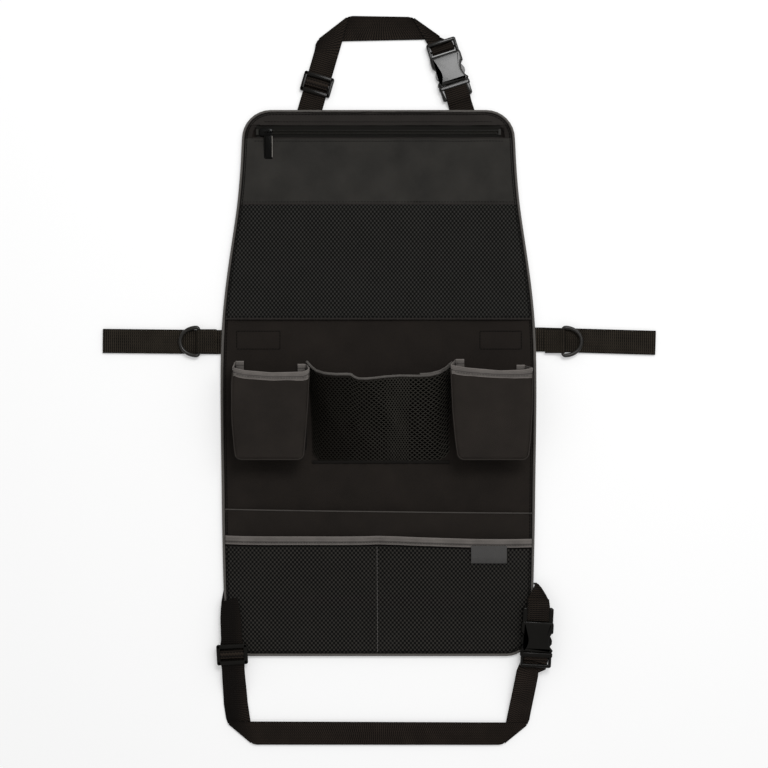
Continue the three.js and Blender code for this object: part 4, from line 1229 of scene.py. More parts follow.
@dataclass
class BottlePocket:
    """A deep pocket for a bottle: a front, a gusset round it and a bound mouth."""

    finishes: Finishes
    side: Side
    shape: PocketShape
    depth: float = 36.0
    bottom: float = -78.0
    corner: float = 7.0

    @property
    def face(self) -> float:
        """The height of its front."""
        return PANEL.front + self.depth + 0.6

    def sides(self, y: float, front: bool = True) -> Pair:
        """Gives where the left and the right edge are.

        Args:
            y: The height on the panel.
            front: Whether of the front, or else of the foot.

        Returns:
            The two places across.
        """
        if not front:
            return self.shape.foot
        left, right = (float(np.interp(y, *zip(*edge))) for edge in (self.shape.left, self.shape.right))
        return left, right

    def mouth(self, x: float) -> float:
        """Gives where the bound mouth's upper edge lies."""
        return float(np.interp(x, *zip(*self.shape.mouth)))

    def surface(self, x: float, y: float) -> float:
        """Gives the height of the front, which bellies out a little and rounds off at its seam."""
        left, right = self.sides(y)
        inside = min(x - left, right - x, (y - self.bottom) * 1.2)
        wave = ripple(x, y, (34, 26), 1.0, 6.0 + self.side.value) + ripple(x + y, y, (14, 50), 0.35, 1.6)
        return self.face + 1.0 * smooth(inside / 26) + wave - 1.7 * (1 - smooth(inside / 4.5)) ** 2

    def build(self) -> None:
        """Builds the pocket."""
        shell = Form()
        levels = [self.bottom + d for d in (0.1, 0.6, 1.6, 3, 4.6, 6.4, 8.6, 11.5)]
        levels += list(np.linspace(self.bottom + 15, 9.6, 23))
        rows = []
        for y in levels:
            left, right = self.sides(y)
            drop = max(0.0, self.bottom + self.corner - y)
            cut = self.corner - math.sqrt(max(0.0, self.corner**2 - drop**2))
            left, right = left + cut, right - cut
            shares = np.sin(np.linspace(-math.pi / 2, math.pi / 2, 33)) * 0.55 + np.linspace(-1, 1, 33) * 0.45
            places = [(left + right) / 2 + (right - left) / 2 * t for t in shares]
            rows.append([(x, min(y, self.mouth(x) - 4), self.surface(x, y)) for x in places])
        shell.cloth(rows, 1.2)
        name = self.side.label + "_pocket"
        shell.piece(name + "_shell", self.finishes.pocket, "cloth", replaces=[name + "_front"], sharp=60.0)
        self.gusset()
        self.seam()
        self.binding()

    def contour(self, share: float, shrink: float, drop: float) -> list[Pair]:
        """Gives the line round the pocket's sides and bottom.

        Args:
            share: How high above the panel it is, from 0 at the foot to 1 at the front.
            shrink: How far the line lies inside.
            drop: How far its two ends lie below the mouth.

        Returns:
            The points from the left end round to the right one.
        """
        lines = []
        for front, radius, tops in (
            (False, 14.0, self.shape.foot_mouth),
            (True, self.corner, (self.shape.mouth[0][1], self.shape.mouth[-1][1])),
        ):
            low, bend = self.bottom + shrink, radius - shrink
            levels = [np.linspace(top - drop, low + bend, 13) for top in tops]
            left = [(self.sides(y, front)[0] + shrink, y) for y in levels[0]]
            right = [(self.sides(y, front)[1] - shrink, y) for y in levels[1]]
            for (x, y), start in ((left[-1], 180), (right[-1], 270)):
                turns = [math.radians(start + 11.25 * step) for step in range(1, 8)]
                middle = x + (bend if start == 180 else -bend)
                arc = [(middle + bend * math.cos(a), y + bend * math.sin(a)) for a in turns]
                if start == 180:
                    left += arc + [(middle, low)]
                else:
                    right = left + [(middle, low)] + arc + right[::-1]
            lines.append(right)
        foot, front_line = np.array(lines[0]), np.array(lines[1])
        return [(float(x), float(y)) for x, y in foot * (1 - share) + front_line * share]

    def gusset(self) -> None:
        """Builds the strip round the sides and bottom."""
        strip = Form()
        rows = []
        for share in np.linspace(0, 1, 9):
            bow = 1.4 * math.sin(math.pi * share)
            z = PANEL.front + (self.face - 1.2 - PANEL.front) * share
            rows.append([(x, y, z) for x, y in self.contour(float(share), bow, 3.0)])
        points = np.array(rows)
        reach = distances(points[0])
        flat = np.stack(np.broadcast_arrays(reach[None], points[..., 2]), 2)
        strip.cloth(points, 1.0, flat)
        name = self.side.label + "_pocket_gusset"
        strip.piece(name + "_strip", self.finishes.gusset, "cloth", replaces=[name], sharp=60.0)

    def seam(self) -> None:
        """Builds the raised seam where the front meets the gusset."""
        bead = Form()
        path = [(x, y, self.face - 0.9) for x, y in self.contour(1.0, 0.3, 5.0)]
        bead.tube(path, 0.7, 8)
        bead.piece(self.side.label + "_pocket_seam", self.finishes.seam, "cloth")

    def rim_line(self) -> list[tuple[Point, float]]:
        """Gives the bound edge from the left sewn end over the front to the right one.

        Returns:
            The points of its upper edge, each with the tape's width there.
        """
        line = []
        for end, sign in ((0, 1), (1, -1)):
            foot, top = self.shape.foot[end], self.shape.foot_mouth[end]
            corner = self.shape.mouth[-end]
            ways = [
                ((foot + sign * d, top, PANEL.front + z), 7.5) for d, z in ((9.5, 1.3), (5, 1.4), (1.5, 1.8))
            ]
            for share in np.linspace(0.04, 0.93, 8):
                x = foot + (corner[0] - foot) * share - sign * 0.3
                ways.append(((x, top + (corner[1] - top) * share, PANEL.front + self.depth * share), 8.8))
            line.append(ways)
        left, right = self.sides(16.0)
        front = []
        for share in np.linspace(0, 1, 27):
            x = left + 0.6 + (right - left - 1.2) * float(share)
            dome = 1 - (2 * share - 1) ** 8
            low = float(np.interp(x, *zip(*self.shape.rim)))
            front.append(((x, self.mouth(x), self.face - 0.6 + 2.0 * dome), self.mouth(x) - low))
        return line[0] + front + line[1][::-1]

    def binding(self) -> None:
        """Builds the bound mouth with its row of stitches."""
        line = self.rim_line()
        places = np.array([(x, z) for (x, _, z), _ in line])
        reach = distances(places)
        rows, flats = [], []
        for t, lift in ((0, -0.5), (0.1, 0.1), (0.46, 0.0), (0.54, 0.0), (0.9, 0.25), (1, -0.4)):
            rows.append([(x, y - width * (1 - t), z + lift) for (x, y, z), width in line])
            flats.append([(9.4 * t, far) for far in reach])
        tape = Form()
        tape.cloth(rows, 1.4, flats)
        name = self.side.label + "_pocket_"
        tape.piece(
            name + "rim_tape", self.finishes.binding, "binding", replaces=[name + "binding"], sharp=70.0
        )
        front = np.array([(x, y - width * 0.7, z) for (x, y, z), width in line[11:-11]])
        thread = Form()
        xs, zs = front[:, 0], front[:, 2]
        thread.stitches(front[1:-1, :2], lambda x, _: float(np.interp(x, xs, zs)) + 0.1, 2.8, 1.9, 0.3)
        thread.piece(name + "rim_stitches", self.finishes.rim_thread, "binding")


NET_RIM = (
    (-74.6, 21.8, 5), (-69.6, 16.5, 12), (-64.2, 12.3, 18), (-55.8, 9.7, 23), (-44.4, 8.6, 26),
    (-33.1, 8.8, 27), (-28.0, 8.4, 27), (-24.9, 6.3, 27.5), (-20.8, 4.5, 28), (-12.7, 4.3, 28),
    (-3.5, 5.1, 28), (6.7, 6.4, 28), (22.1, 7.4, 28), (42.5, 7.1, 27), (52.8, 7.7, 25),
    (63.2, 10.3, 20), (69.7, 13.9, 13), (74.0, 17.6, 8), (77.3, 20.7, 5),
)


@dataclass
class NetPocket:
    """The soft net pocket between the bottle pockets, gathered on a thin bound rim."""

    finishes: Finishes
    left: float = -68.5
    right: float = 74.0
    hem: float = -81.0
    columns: int = 34
    rows: int = 41

    def place(self, u: float, v: float, under: float = 0.0) -> Point:
        """Gives a point of the net.

        Args:
            u: Share of the way across.
            v: Share of the way up from the hem to the rim.
            under: How far below the net.

        Returns:
            The point.
        """
        spread = float(np.interp(u, (0, 0.273, 0.531, 0.76, 1), (0, 0.255, 0.539, 0.702, 1)))
        xs, ys, zs = zip(*NET_RIM)
        top = xs[0] + (xs[-1] - xs[0]) * spread
        mouth, high = float(np.interp(top, xs, ys)), float(np.interp(top, xs, zs))
        low = self.left + (self.right - self.left) * spread
        hem = self.hem + 6.0 * (1 - smooth(min(u, 1 - u) / 0.07))
        x, y = low + (top - low) * v**2, hem + (mouth - hem) * v
        belly = (1 - (1 - v) ** 2.4) * (high - PANEL.front - 1.4)
        fold = ripple(x + 0.5 * y, y, (17, 55), 5.0, 8.8) + ripple(x - 0.6 * y, y, (11, 40), 2.6, 2.9)
        fold += 3.5 * math.exp(-(((x - 18 - 0.06 * y) / 5.5) ** 2)) - 1.5
        drape = fold * math.sin(math.pi * min(1, v * 1.02)) ** 0.7 * math.sin(math.pi * u) ** 0.7
        return x + drape * 0.25, y, max(PANEL.front + 1.3, PANEL.front + 1.4 + belly + drape - under)

    def build(self) -> None:
        """Builds the net's threads, a dark sheet behind them that is painted shade of the pocket's inside,
        and the rim.
        """
        threads = Form()
        for row in range(self.rows + 1):
            for column in range(self.columns):
                u = (column + (row % 2) / 2) / self.columns
                start = (u, row / self.rows)
                for shift in (-0.5, 0.5):
                    over = u + shift / self.columns
                    if row < self.rows and 0 <= over <= 1:
                        self.strand(threads, start, (over, (row + 1) / self.rows))
        threads.piece("net_threads", self.finishes.net, "net", replaces=["centre_net_pocket"], sharp=80.0)
        # A dark sheet under the net, which stands for the shade inside the pocket: painted shade.
        inner = Form()
        across, up = np.linspace(0.01, 0.99, 60), np.linspace(0.02, 0.97, 34)
        inner.cloth([[self.place(float(u), v, 2.6) for u in across] for v in up], 0.8)
        inner.piece("net_painted_shade_sheet", self.finishes.inner, "cloth", sharp=80.0)
        self.rim()
        self.hem_tape()

    def rim(self) -> None:
        """Builds the rim: rolled edges that cross where the net was bunched."""
        rim = Form()
        line = np.array(NET_RIM, float)
        reach = distances(line)

        def run(start: int, end: int, radius: float, shift: Point) -> None:
            """Adds one rolled edge between two places of the rim."""
            spots = np.arange(reach[start], reach[end], 2.2)
            path = [tuple(float(np.interp(d, reach, line[:, k])) + shift[k] for k in range(3)) for d in spots]
            rim.tube(path, radius, 10, flatten=0.8)

        run(0, 7, 1.45, (0.0, 0.4, 0.6))
        run(6, 18, 1.2, (0.0, 0.2, 0.8))
        run(13, 18, 1.2, (0.0, 1.9, 0.6))
        rim.piece("net_rim", self.finishes.net_rim, "binding", replaces=["centre_net_binding"], sharp=70.0)

    def strand(self, form: Form, start: Pair, end: Pair) -> None:
        """Adds one thread of the net, bowed so that the holes are rounded.

        Args:
            form: The form that it is added to.
            start: Its lower end, as shares across and up.
            end: Its upper end.
        """
        half, bend, rise = (end[0] - start[0]) / 2, (end[0] - start[0]) * 0.2, end[1] - start[1]
        ways = [
            start,
            (start[0] + half - bend, start[1] + rise * 0.36),
            (start[0] + half + bend, start[1] + rise * 0.64),
            end,
        ]
        form.tube([self.place(min(1.0, max(0.0, u)), v) for u, v in ways], 0.5, 4)

    def hem_tape(self) -> None:
        """Builds the gathered strip at the bottom of the net, in the dark gusset cloth as painted shade where
        the net's foot sinks into shade.
        """
        strip = Form()
        path = []
        for u in np.linspace(0, 1, 70):
            x = self.left + (self.right - self.left) * float(u)
            path.append((x, self.hem - 1, PANEL.front + 1.6 + ripple(x, 0, (6, 9), 1.2, 4.0)))
        strip.tube(path, 1.5, 8, flatten=0.8)
        strip.piece("net_hem", self.finishes.gusset, "net", sharp=70.0)


@dataclass
class LowerPockets:
    """The slip pocket and the wide mesh pocket in front of it, with the side label."""

    finishes: Finishes
    panel: Panel

    @staticmethod
    def dip(x: float | np.ndarray) -> float | np.ndarray:
        """Gives how far the mesh pocket's mouth hangs down at a place across."""
        return np.interp(x, (-160.0, -80.0, 20.0, 95.0, 160.0), (-1.2, -1.5, -1.4, 1.0, 2.2))

    @staticmethod
    def slanted(points: np.ndarray, top: float) -> np.ndarray:
        """Lowers the right end of a pocket's mouth a little, as it was sewn.

        Args:
            points: The pocket's points.
            top: Where its mouth is.

        Returns:
            The moved points.
        """
        rise = np.clip((points[..., 1] - PANEL.hem_seam) / (top - PANEL.hem_seam), 0, 1)
        moved = points.copy()
        low = PANEL.tilt * (points[..., 0] + 40) + 1.3
        if top == PANEL.mesh_top:
            low = LowerPockets.dip(points[..., 0])
        moved[..., 1] -= low * rise
        return moved

    def build(self) -> None:
        """Builds the two pockets."""
        low = -self.panel.edge() + 0.5
        slip = Form()
        slip.cloth(self.slanted(self.panel.spread(low, PANEL.slip_top, PANEL.slip, 0.3), PANEL.slip_top), 0.9)
        made = slip.piece("slip_front", self.finishes.slip, "cloth", replaces=["slip_pocket_front"])
        self.edging()
        mesh = Form()
        top = PANEL.mesh_top - 1
        mesh.cloth(self.slanted(self.panel.spread(low, top, PANEL.mesh, 0.3), PANEL.mesh_top), 1.0)
        made = mesh.piece("lower_mesh", self.finishes.lower_mesh, "mesh", replaces=["lower_mesh_front"])
        self.binding()
        self.divider()
        self.label()

    def edging(self) -> None:
        """Builds the thin cord along the slip pocket's mouth."""
        top = PANEL.slip_top
        half = half_width(top) - 0.5
        path = []
        for x in np.linspace(-half, half, 100):
            path.append((x, top - 0.3 - PANEL.tilt * (x + 40), PANEL.slip(x, top) - 0.1))
        cord = Form()
        cord.tube(path, 0.65, 8)
        cord.piece("slip_edge", self.finishes.cord, "piping", replaces=["slip_pocket_piping"])

    def binding(self) -> None:
        """Builds the bound mouth of the mesh pocket, its stitches and a dark cord under it that is painted
        shadow.
        """
        rows, flats = [], []
        shares = (0, 0.12, 0.5, 0.88, 1)
        half = half_width(PANEL.mesh_top) - 0.3
        columns = np.linspace(-half, half, 120)
        for t in shares:
            y = PANEL.mesh_top - 8.4 + 8.8 * t
            lift = 1.3 - 0.8 * (2 * t - 1) ** 4
            slant = [y - self.dip(x) for x in columns]
            rows.append(
                [(x, s, PANEL.mesh(x, min(y, PANEL.mesh_top)) + lift) for x, s in zip(columns, slant)]
            )
            flats.append([(8.8 * t, x) for x in columns])
        tape = Form()
        tape.cloth(rows, 2.0, flats)
        tape.piece(
            "mesh_rim_tape", self.finishes.hem_binding, "binding", replaces=["lower_mesh_binding"], sharp=60.0
        )
        thread = Form()
        path = [(x, PANEL.mesh_top - 6.0 - self.dip(x)) for x in columns]
        thread.stitches(path, lambda x, _: PANEL.mesh(x, PANEL.mesh_top - 6) + 1.25, 2.8, 1.9, 0.26)
        thread.piece("mesh_rim_stitches", self.finishes.rim_thread, "binding")
        # A dark cord just under the rim: painted shadow of the rim.
        under = Form()
        top = PANEL.mesh_top
        under.tube([(x, top - 9.3 - self.dip(x), PANEL.mesh(x, top - 9) + 0.4) for x in columns], 0.7, 6)
        under.piece("mesh_rim_painted_shadow", self.finishes.dark_thread_and_shade, "cloth")

    def divider(self) -> None:
        """Builds the row of stitches that splits the mesh pocket in two."""
        thread = Form()
        path = [(-1.5, PANEL.mesh_top - 9), (-1.0, -279.0)]
        thread.stitches(path, lambda x, y: PANEL.mesh(x, y) + 0.15, 3.0, 2.2, 0.32)
        thread.piece("divider_stitches", self.finishes.pale_thread, "binding")

    def label(self) -> None:
        """Builds the small folded label, which is left blank."""
        form = Form()
        rows = []
        for y, lift in ((-185.6, 1.0), (-186.1, 2.0), (-184.8, 2.7), (-178, 2.9), (-168.0, 1.9)):
            rows.append(
                [(x, y - 0.012 * (x - 114), PANEL.mesh(x, y) + lift) for x in np.linspace(95.5, 132.5, 12)]
            )
        form.cloth(rows, 0.5)
        form.piece("blank_label", self.finishes.label, "label", replaces=["side_label"], sharp=60.0)


# Webbing


@dataclass(frozen=True)
class Stop:
    """A corner or level change on a strap's route; a fold goes on at another level."""

    x: float
    y: float
    z: float
    onward: float | None = None
    width: float | None = None
    cut: tuple[Pair, Pair] | None = None


@dataclass(frozen=True)
class Axis:
    """A buckle's place: where its webbing end starts, how it leans and how high it lies."""

    x: float
    y: float
    lean: float
    base: float

    def at(self, reach: float) -> Pair:
        """Gives the place at a distance along the buckle."""
        turn = math.radians(self.lean)
        return self.x + math.sin(turn) * reach, self.y - math.cos(turn) * reach

    def matrix(self) -> Matrix:
        """Gives the movement that lays a buckle, built along -Y, in its place."""
        turn = Matrix.Rotation(math.radians(self.lean), 4, "Z")
        return Matrix.Translation((self.x, self.y, self.base)) @ turn

    def threads(self, far: bool = False, over: bool = False, width: float = 25.0) -> list[Stop]:
        """Gives the webbing's way at one end: under the end bar and over the weave bar, or over the end bar.

        Args:
            far: Whether it is the end that is further along.
            over: Whether the webbing covers the end bar and then goes down the slit.
            width: The webbing's width there.

        Returns:
            The stops from the end inwards.
        """
        steps = ((0.0, 1.0), (3.8, 1.0), (7.5, 4.6), (10.6, 4.6), (12.6, 1.2))
        if over:
            steps = ((-7.0, 1.0), (-0.5, 6.2), (3.9, 6.2), (9.0, 5.9), (13.6, 5.2), (14.9, 2.0))
        spots = [(self.at(62 - s if far else s), z) for s, z in steps]
        return [Stop(x, y, self.base + z, width=width) for (x, y), z in spots]


TOP_BUCKLE = Axis(64.0, 355.5, 17.7, 0.0)
LOWER_BUCKLE = Axis(165.5, -232.0, -2.9, 7.5)
STRAP_LEVEL = 8.5
TOP_ADJUSTER = (-63.83, 310.53, 1.0)
LOWER_ADJUSTER = (-151.45, -280.93, STRAP_LEVEL)
SIDE_STRAP_Y = 43.5
RING_Y = 43.1
RING_BAR = {Side.LEFT: -186.5, Side.RIGHT: 191.3}


@dataclass
class Strap:
    """A length of webbing along a route, folded flat at its corners."""

    route: list[Stop]
    width: float = 25.0
    thickness: float = 1.5
    columns: int = 12
    seed: float = 0.0

    def form(self) -> Form:
        """Builds the strap's form."""
        form = Form()
        run: list[tuple[np.ndarray, np.ndarray, float]] = []
        reach = 0.0
        for i, stop in enumerate(self.route):
            here = np.array((stop.x, stop.y))
            before = self._way(i - 1, i) if i else self._way(i, i + 1)
            after = self._way(i, i + 1) if i < len(self.route) - 1 else before
            mean = (before + after) / np.linalg.norm(before + after)
            if stop.onward is None:
                run.append((*self._edges(here, mean, self._side(mean), stop.width), stop.z))
                continue
            first, last = self._edges(here, before, mean)
            if stop.cut is not None:
                first, last = (np.array(p) for p in stop.cut)
            pull = (last - first) / np.linalg.norm(last - first) * 1.3
            run.append((first - before * 3.0, last - before * 3.0, stop.z))
            run.append((first + pull, last - pull, stop.z))
            reach = self._lay(form, run, reach)
            run = [(last - pull, first + pull, stop.onward)]
            run.append((last + after * 3.0, first + after * 3.0, stop.onward))
            low, high = sorted((stop.z, stop.onward))
            middle = (low + high + self.thickness) / 2
            fold = [(*(first + pull * 3), middle), (*(last - pull * 3), middle)]
            form.tube(fold, (high + self.thickness - low) / 2 - 0.3, 12)
        self._lay(form, run, reach)
        return form

    def _way(self, start: int, end: int) -> np.ndarray:
        """Gives the direction from one stop to another."""
        a, b = self.route[start], self.route[end]
        way = np.array((b.x - a.x, b.y - a.y))
        return way / np.linalg.norm(way)

    @staticmethod
    def _side(way: np.ndarray) -> np.ndarray:
        """Gives the direction to the left of a way."""
        return np.array((-way[1], way[0]))

    def _edges(
        self, at: np.ndarray, way: np.ndarray, cut: np.ndarray, width: float | None = None
    ) -> tuple[np.ndarray, np.ndarray]:
        """Gives the two edges of the webbing where a line crosses it.

        Args:
            at: A point of its middle.
            way: The webbing's direction.
            cut: The line's direction.
            width: The webbing's width there, if not the strap's own.

        Returns:
            The left edge and the right one.
        """
        reach = (width or self.width) / 2 / float(cut @ self._side(way))
        return at + cut * reach, at - cut * reach

    def _lay(self, form: Form, run: list[tuple[np.ndarray, np.ndarray, float]], reach: float) -> float:
        """Adds one run between two folds.

        Args:
            form: The form that it is added to.
            run: Its cross lines: the left edge, the right one and the level.
            reach: How far along the strap it starts.

        Returns:
            How far along the strap it ends.
        """
        shares = np.linspace(-1, 1, self.columns + 1)
        tops, flats = [], []
        for (left0, right0, z0), (left1, right1, z1) in zip(run, run[1:]):
            length = float(np.linalg.norm((left1 + right1 - left0 - right0) / 2))
            count = max(2 if length < 3.5 else 3, round(length / 4))
            for step in range(0 if not tops else 1, count + 1):
                t = step / count
                left, right = left0 + (left1 - left0) * t, right0 + (right1 - right0) * t
                level = z0 + (z1 - z0) * smooth(t) + self.thickness
                points, places = [], []
                for share in shares:
                    x, y = left + (right - left) * (share + 1) / 2
                    wave = ripple(x, y, (40, 40), 0.5, self.seed) * 0.6
                    points.append((x, y, max(level + wave, self.thickness) - 0.35 * abs(share) ** 8))
                    places.append((share * self.width / 2, reach + length * t))
                tops.append(points)
                flats.append(places)
            reach += length
        form.cloth(tops, self.thickness - 0.1, flats)
        return reach


@dataclass
class Straps:
    """Every strap of the organizer, with the sewn loops of the side rings."""

    finishes: Finishes
    fold: float = 1.4

    def build(self) -> None:
        """Builds the straps."""
        self.top()
        self.lower()
        for side in Side:
            self.side(side)

    def top(self) -> None:
        """Builds the two straps that close round the headrest's posts."""
        route = [
            Stop(-79.1, 258.0, 1.0),
            Stop(-54.5, 342.5, 1.0),
            Stop(-46.7, 369.9, self.fold, 0.0, cut=((-64.6, 355.4), (-29.8, 382.3))),
            Stop(50.0, 369.9, 0.0, self.fold, cut=((33.6, 381.4), (66.5, 358.0))),
            *TOP_BUCKLE.threads(width=24.0)[1:],
        ]
        strap = Strap(route, seed=1.0).form()
        bend = (Body.TOP_BUCKLE, (-0.030, 0.370, 0.0), (0.038, 0.372, 0.0))
        strap.piece(
            "headrest_strap", self.finishes.webbing, "webbing", Body.PANEL, ["top_strap_long"], 50.0, bend
        )
        end = TOP_BUCKLE.at(102)
        route = [*TOP_BUCKLE.threads(far=True, over=True)[::-1], Stop(*end, 1.0)]
        strap = Strap(route, seed=2.0).form()
        strap.piece(
            "headrest_strap_end", self.finishes.webbing, "webbing", replaces=["top_strap_short"], sharp=50.0
        )

    def lower(self) -> None:
        """Builds the two straps that close round the seat's base."""
        route = [
            Stop(-154.6, -224.6, STRAP_LEVEL - 3.0, width=13.6),
            Stop(-154.2, -226.0, STRAP_LEVEL - 0.4, width=16.4),
            Stop(-153.9, -231.0, STRAP_LEVEL, width=18.8),
            Stop(-153.2, -243.0, STRAP_LEVEL, width=21.4),
            Stop(-152.2, -266.0, STRAP_LEVEL, width=22.0),
            Stop(-151.8, -274.0, STRAP_LEVEL, width=25.2),
            Stop(-151.1, -287.5, STRAP_LEVEL, width=25.2),
            Stop(-150.6, -296.0, STRAP_LEVEL - 0.6, width=23.6),
            Stop(-148.7, -333.3, 0.0),
            Stop(-144.5, -364.5, 0.0, self.fold, cut=((-129.6, -376.4), (-158.4, -352.2))),
            Stop(141.0, -365.0, self.fold, 0.0, cut=((156.6, -353.4), (128.2, -376.6))),
            Stop(154.4, -301.0, 6.6, width=23.2),
            Stop(157.0, -293.0, 7.8, width=22.6),
            *LOWER_BUCKLE.threads(far=True, width=25.2)[1:],
        ]
        long = Strap(route, seed=3.0).form()
        wall = [(-159.0, -209.0, -1.6), (-161.0, -215.0, -1.4), (-162.2, -221.0, 0.0)]
        wall += [(-162.8, -226.0, 5.4), (-163.2, -232.0, 6.9), (-163.6, -240.0, 7.0)]
        self.turn(long, wall, Side.LEFT)
        bend = (Body.LOWER_BUCKLE, (0.050, -0.365, 0.0), (0.125, -0.365, 0.0))
        long.piece(
            "seat_strap", self.finishes.seat_webbing, "webbing", Body.PANEL, ["lower_strap_long"], 50.0, bend
        )
        neck = [
            Stop(165.6, -224.0, STRAP_LEVEL, width=22.4), *LOWER_BUCKLE.threads(over=True, width=23.4)[1:]
        ]
        short = Strap(neck, seed=4.0).form()
        high = STRAP_LEVEL + 1.4
        neck_rows = [(-226.0, 153.6, 176.9), (-219.0, 157.0, 173.4)]
        neck_rows += [(-212.0, 160.6, 169.0), (-208.0, 162.6, 165.6)]
        dome = [(float(t), 0.5 * abs(2 * t - 1) ** 6) for t in np.linspace(0, 1, 9)]
        rows = [[(x0 + (x1 - x0) * t, y, high - drop) for t, drop in dome] for y, x0, x1 in neck_rows]
        places = [[(-10.0 + 2.5 * i, -y) for i in range(9)] for y, _, _ in neck_rows]
        short.cloth(rows, 1.3, places)
        wall = [(164.8, -208.0, 6.6), (168.6, -212.0, 7.4), (173.0, -219.0, 7.4), (176.4, -226.0, 7.2)]
        self.turn(short, wall, Side.RIGHT)
        short.piece(
            "seat_strap_end", self.finishes.webbing, "webbing", replaces=["lower_strap_short"], sharp=50.0
        )

    @staticmethod
    def turn(form: Form, line: list[Point], side: Side) -> None:
        """Adds the part of a lower strap that comes up round the panel's edge.

        Args:
            form: The strap's form.
            line: The wall's outer places from the top down, each with how high the wall stands there.
            side: The side that it is on.
        """
        s = side.value
        rows, flats = [], []
        for x, y, rise in line[:: s]:
            top = 2.6 + max(0.0, rise)
            wall = [(-4.0, 0.6), (-0.6, 0.7), (0.0, 1.6), (0.15, top / 2 + 0.6), (0.0, top)]
            wall += [(-0.7, top + 0.5), (-2.0, top + 0.6)]
            rows.append([(x + s * d, y, z) for d, z in wall])
            flats.append([(2.0 * i - 6.0, -y) for i in range(len(wall))])
        form.cloth(rows, 0.9, flats)

    def side(self, side: Side) -> None:
        """Builds a side strap and the loop that holds its ring.

        Args:
            side: Which of the two.
        """
        s = side.value
        route = [Stop(-103.0, 42.6, 1.0), Stop(-170.0, 42.6, 1.0), Stop(-287.0, 43.8, 1.0)]
        if side is Side.RIGHT:
            route = [Stop(103.0, 44.6, 1.0), Stop(168.0, 45.3, 1.0), Stop(288.4, 41.8, 1.0)]
        strap = Strap(route, 25.2, seed=5.0 + s).form()
        name = side.label
        node = name + "_side_strap"
        strap.piece(name + "_strap", self.finishes.side_webbing, "webbing", replaces=[node], sharp=50.0)
        path = [(18.0, -1.0), (9.0, -0.9), (3.0, 0.5)]
        path += [(2.4 * math.cos(a), 2.4 * math.sin(a)) for a in np.radians(np.linspace(30, 270, 14))]
        path += [(3.0, -2.4), (9.0, -2.4), (18.0, -2.4)]
        line = np.array(path)
        reach = distances(line)
        bar = RING_BAR[side]
        rows, flats = [], []
        for (a, z), far in zip(path, reach):
            across = np.linspace(-1, 1, 9)
            rows.append(
                [(bar - s * a, SIDE_STRAP_Y + 12.4 * t, 5.5 + z - 0.15 * abs(t) ** 8) for t in across]
            )
            flats.append([(12.4 * t, far) for t in across])
        loop = Form()
        loop.cloth(rows, -1.1 * s, flats)
        for a in (16.5, 5.5):
            row = [(bar - s * a, SIDE_STRAP_Y + y) for y in (-11, 11)]
            loop.stitches(row, lambda *_: 5.05 if a > 10 else 5.8, 2.6, 1.8, 0.3)
        loop.piece(
            name + "_loop", self.finishes.side_webbing, "webbing", replaces=[name + "_ring_loop"], sharp=60.0
        )


# Hardware


@dataclass
class Ring:
    """A ring shaped like a D, whose straight bar lies in a loop of webbing."""

    finishes: Finishes
    side: Side
    wire: float = 1.5
    opening: float = 26.0
    depth: float = 19.5
    corner: float = 2.5

    def build(self) -> None:
        """Builds the ring."""
        half = self.opening / 2 + self.wire
        outline = []
        for angle in np.linspace(-math.pi / 2, math.pi / 2, 37):
            reach = self.corner + (self.depth - self.corner) * math.cos(angle)
            outline.append((reach, half * math.sin(angle)))
        for angle in np.radians((112, 135, 158)):
            outline.append((self.corner * (1 + math.cos(angle)), half - self.corner * (1 - math.sin(angle))))
        outline += [(0.0, y) for y in np.linspace(half - self.corner, self.corner - half, 7)]
        outline += [(x, -y) for x, y in outline[39:36:-1]]
        s = self.side.value
        path = [(RING_BAR[self.side] + s * x, RING_Y + y, 5.5) for x, y in outline]
        form = Form()
        form.tube(path, [self.wire + 0.1 + 0.45 * smooth(x / 3) for x, _ in outline], 14, closed=True)
        body = Body.LEFT_RING if self.side is Side.LEFT else Body.RIGHT_RING
        name = self.side.label
        form.piece(name + "_ring", self.finishes.ring, "metal", body, [name + "_d_ring"], sharp=70.0)


@dataclass
class Adjuster:
    """A slide with a centre bar, over a strap, and the sewn end loop round the bar."""

    finishes: Finishes
    name: str
    body: Body
    place: Point
    turn: float
    length: float = 21.0
    width: float = 32.0
    rail: float = 4.0
    bar: float = 4.2
    top: float = 4.6

    def build(self) -> None:
        """Builds the slide and the loop."""
        form = Form()
        half, end = self.width / 2, self.length / 2
        for s in (-1, 1):
            form.box(span(s, half - self.rail, half), (-end, end), (-0.5, self.top), 0.9, 1.9)
            form.box((-half + 0.4, half - 0.4), span(s, end - self.bar, end), (2.2, self.top), 0.8, 1.2)
        form.box((-half + 1, half - 1), (-1.9, 1.9), (3.25, 4.55), 0.5, 0.6)
        x, y, z = self.place
        spot = Matrix.Translation((x, y, z)) @ Matrix.Rotation(self.turn, 4, "Z")
        slide = self.name + "_slide"
        form.placed(spot).piece(slide, self.finishes.plastic, "plastic", self.body, [self.name + "_adjuster"])
        rows, flats = [], []
        for i, angle in enumerate(np.linspace(0, 2 * math.pi, 25)[:-1]):
            y0 = 2.6 * math.copysign(abs(math.cos(angle)) ** 0.6, math.cos(angle)) + 1.4 * math.cos(angle)
            z0 = 3.9 + 1.75 * math.copysign(abs(math.sin(angle)) ** 0.8, math.sin(angle))
            across = np.linspace(-1, 1, 9)
            rows.append([(12.2 * t, y0, z0 - 0.2 * abs(t) ** 8) for t in across])
            flats.append([(12.2 * t, i * 0.5) for t in across])
        loop = Form()
        loop.cloth(rows + rows[:1], -1.0, flats + flats[:1])
        node = self.name + "_adjuster_loop"
        loop.placed(spot).piece(
            self.name + "_end_loop", self.finishes.webbing, "webbing", self.body, [node], 60.0
        )


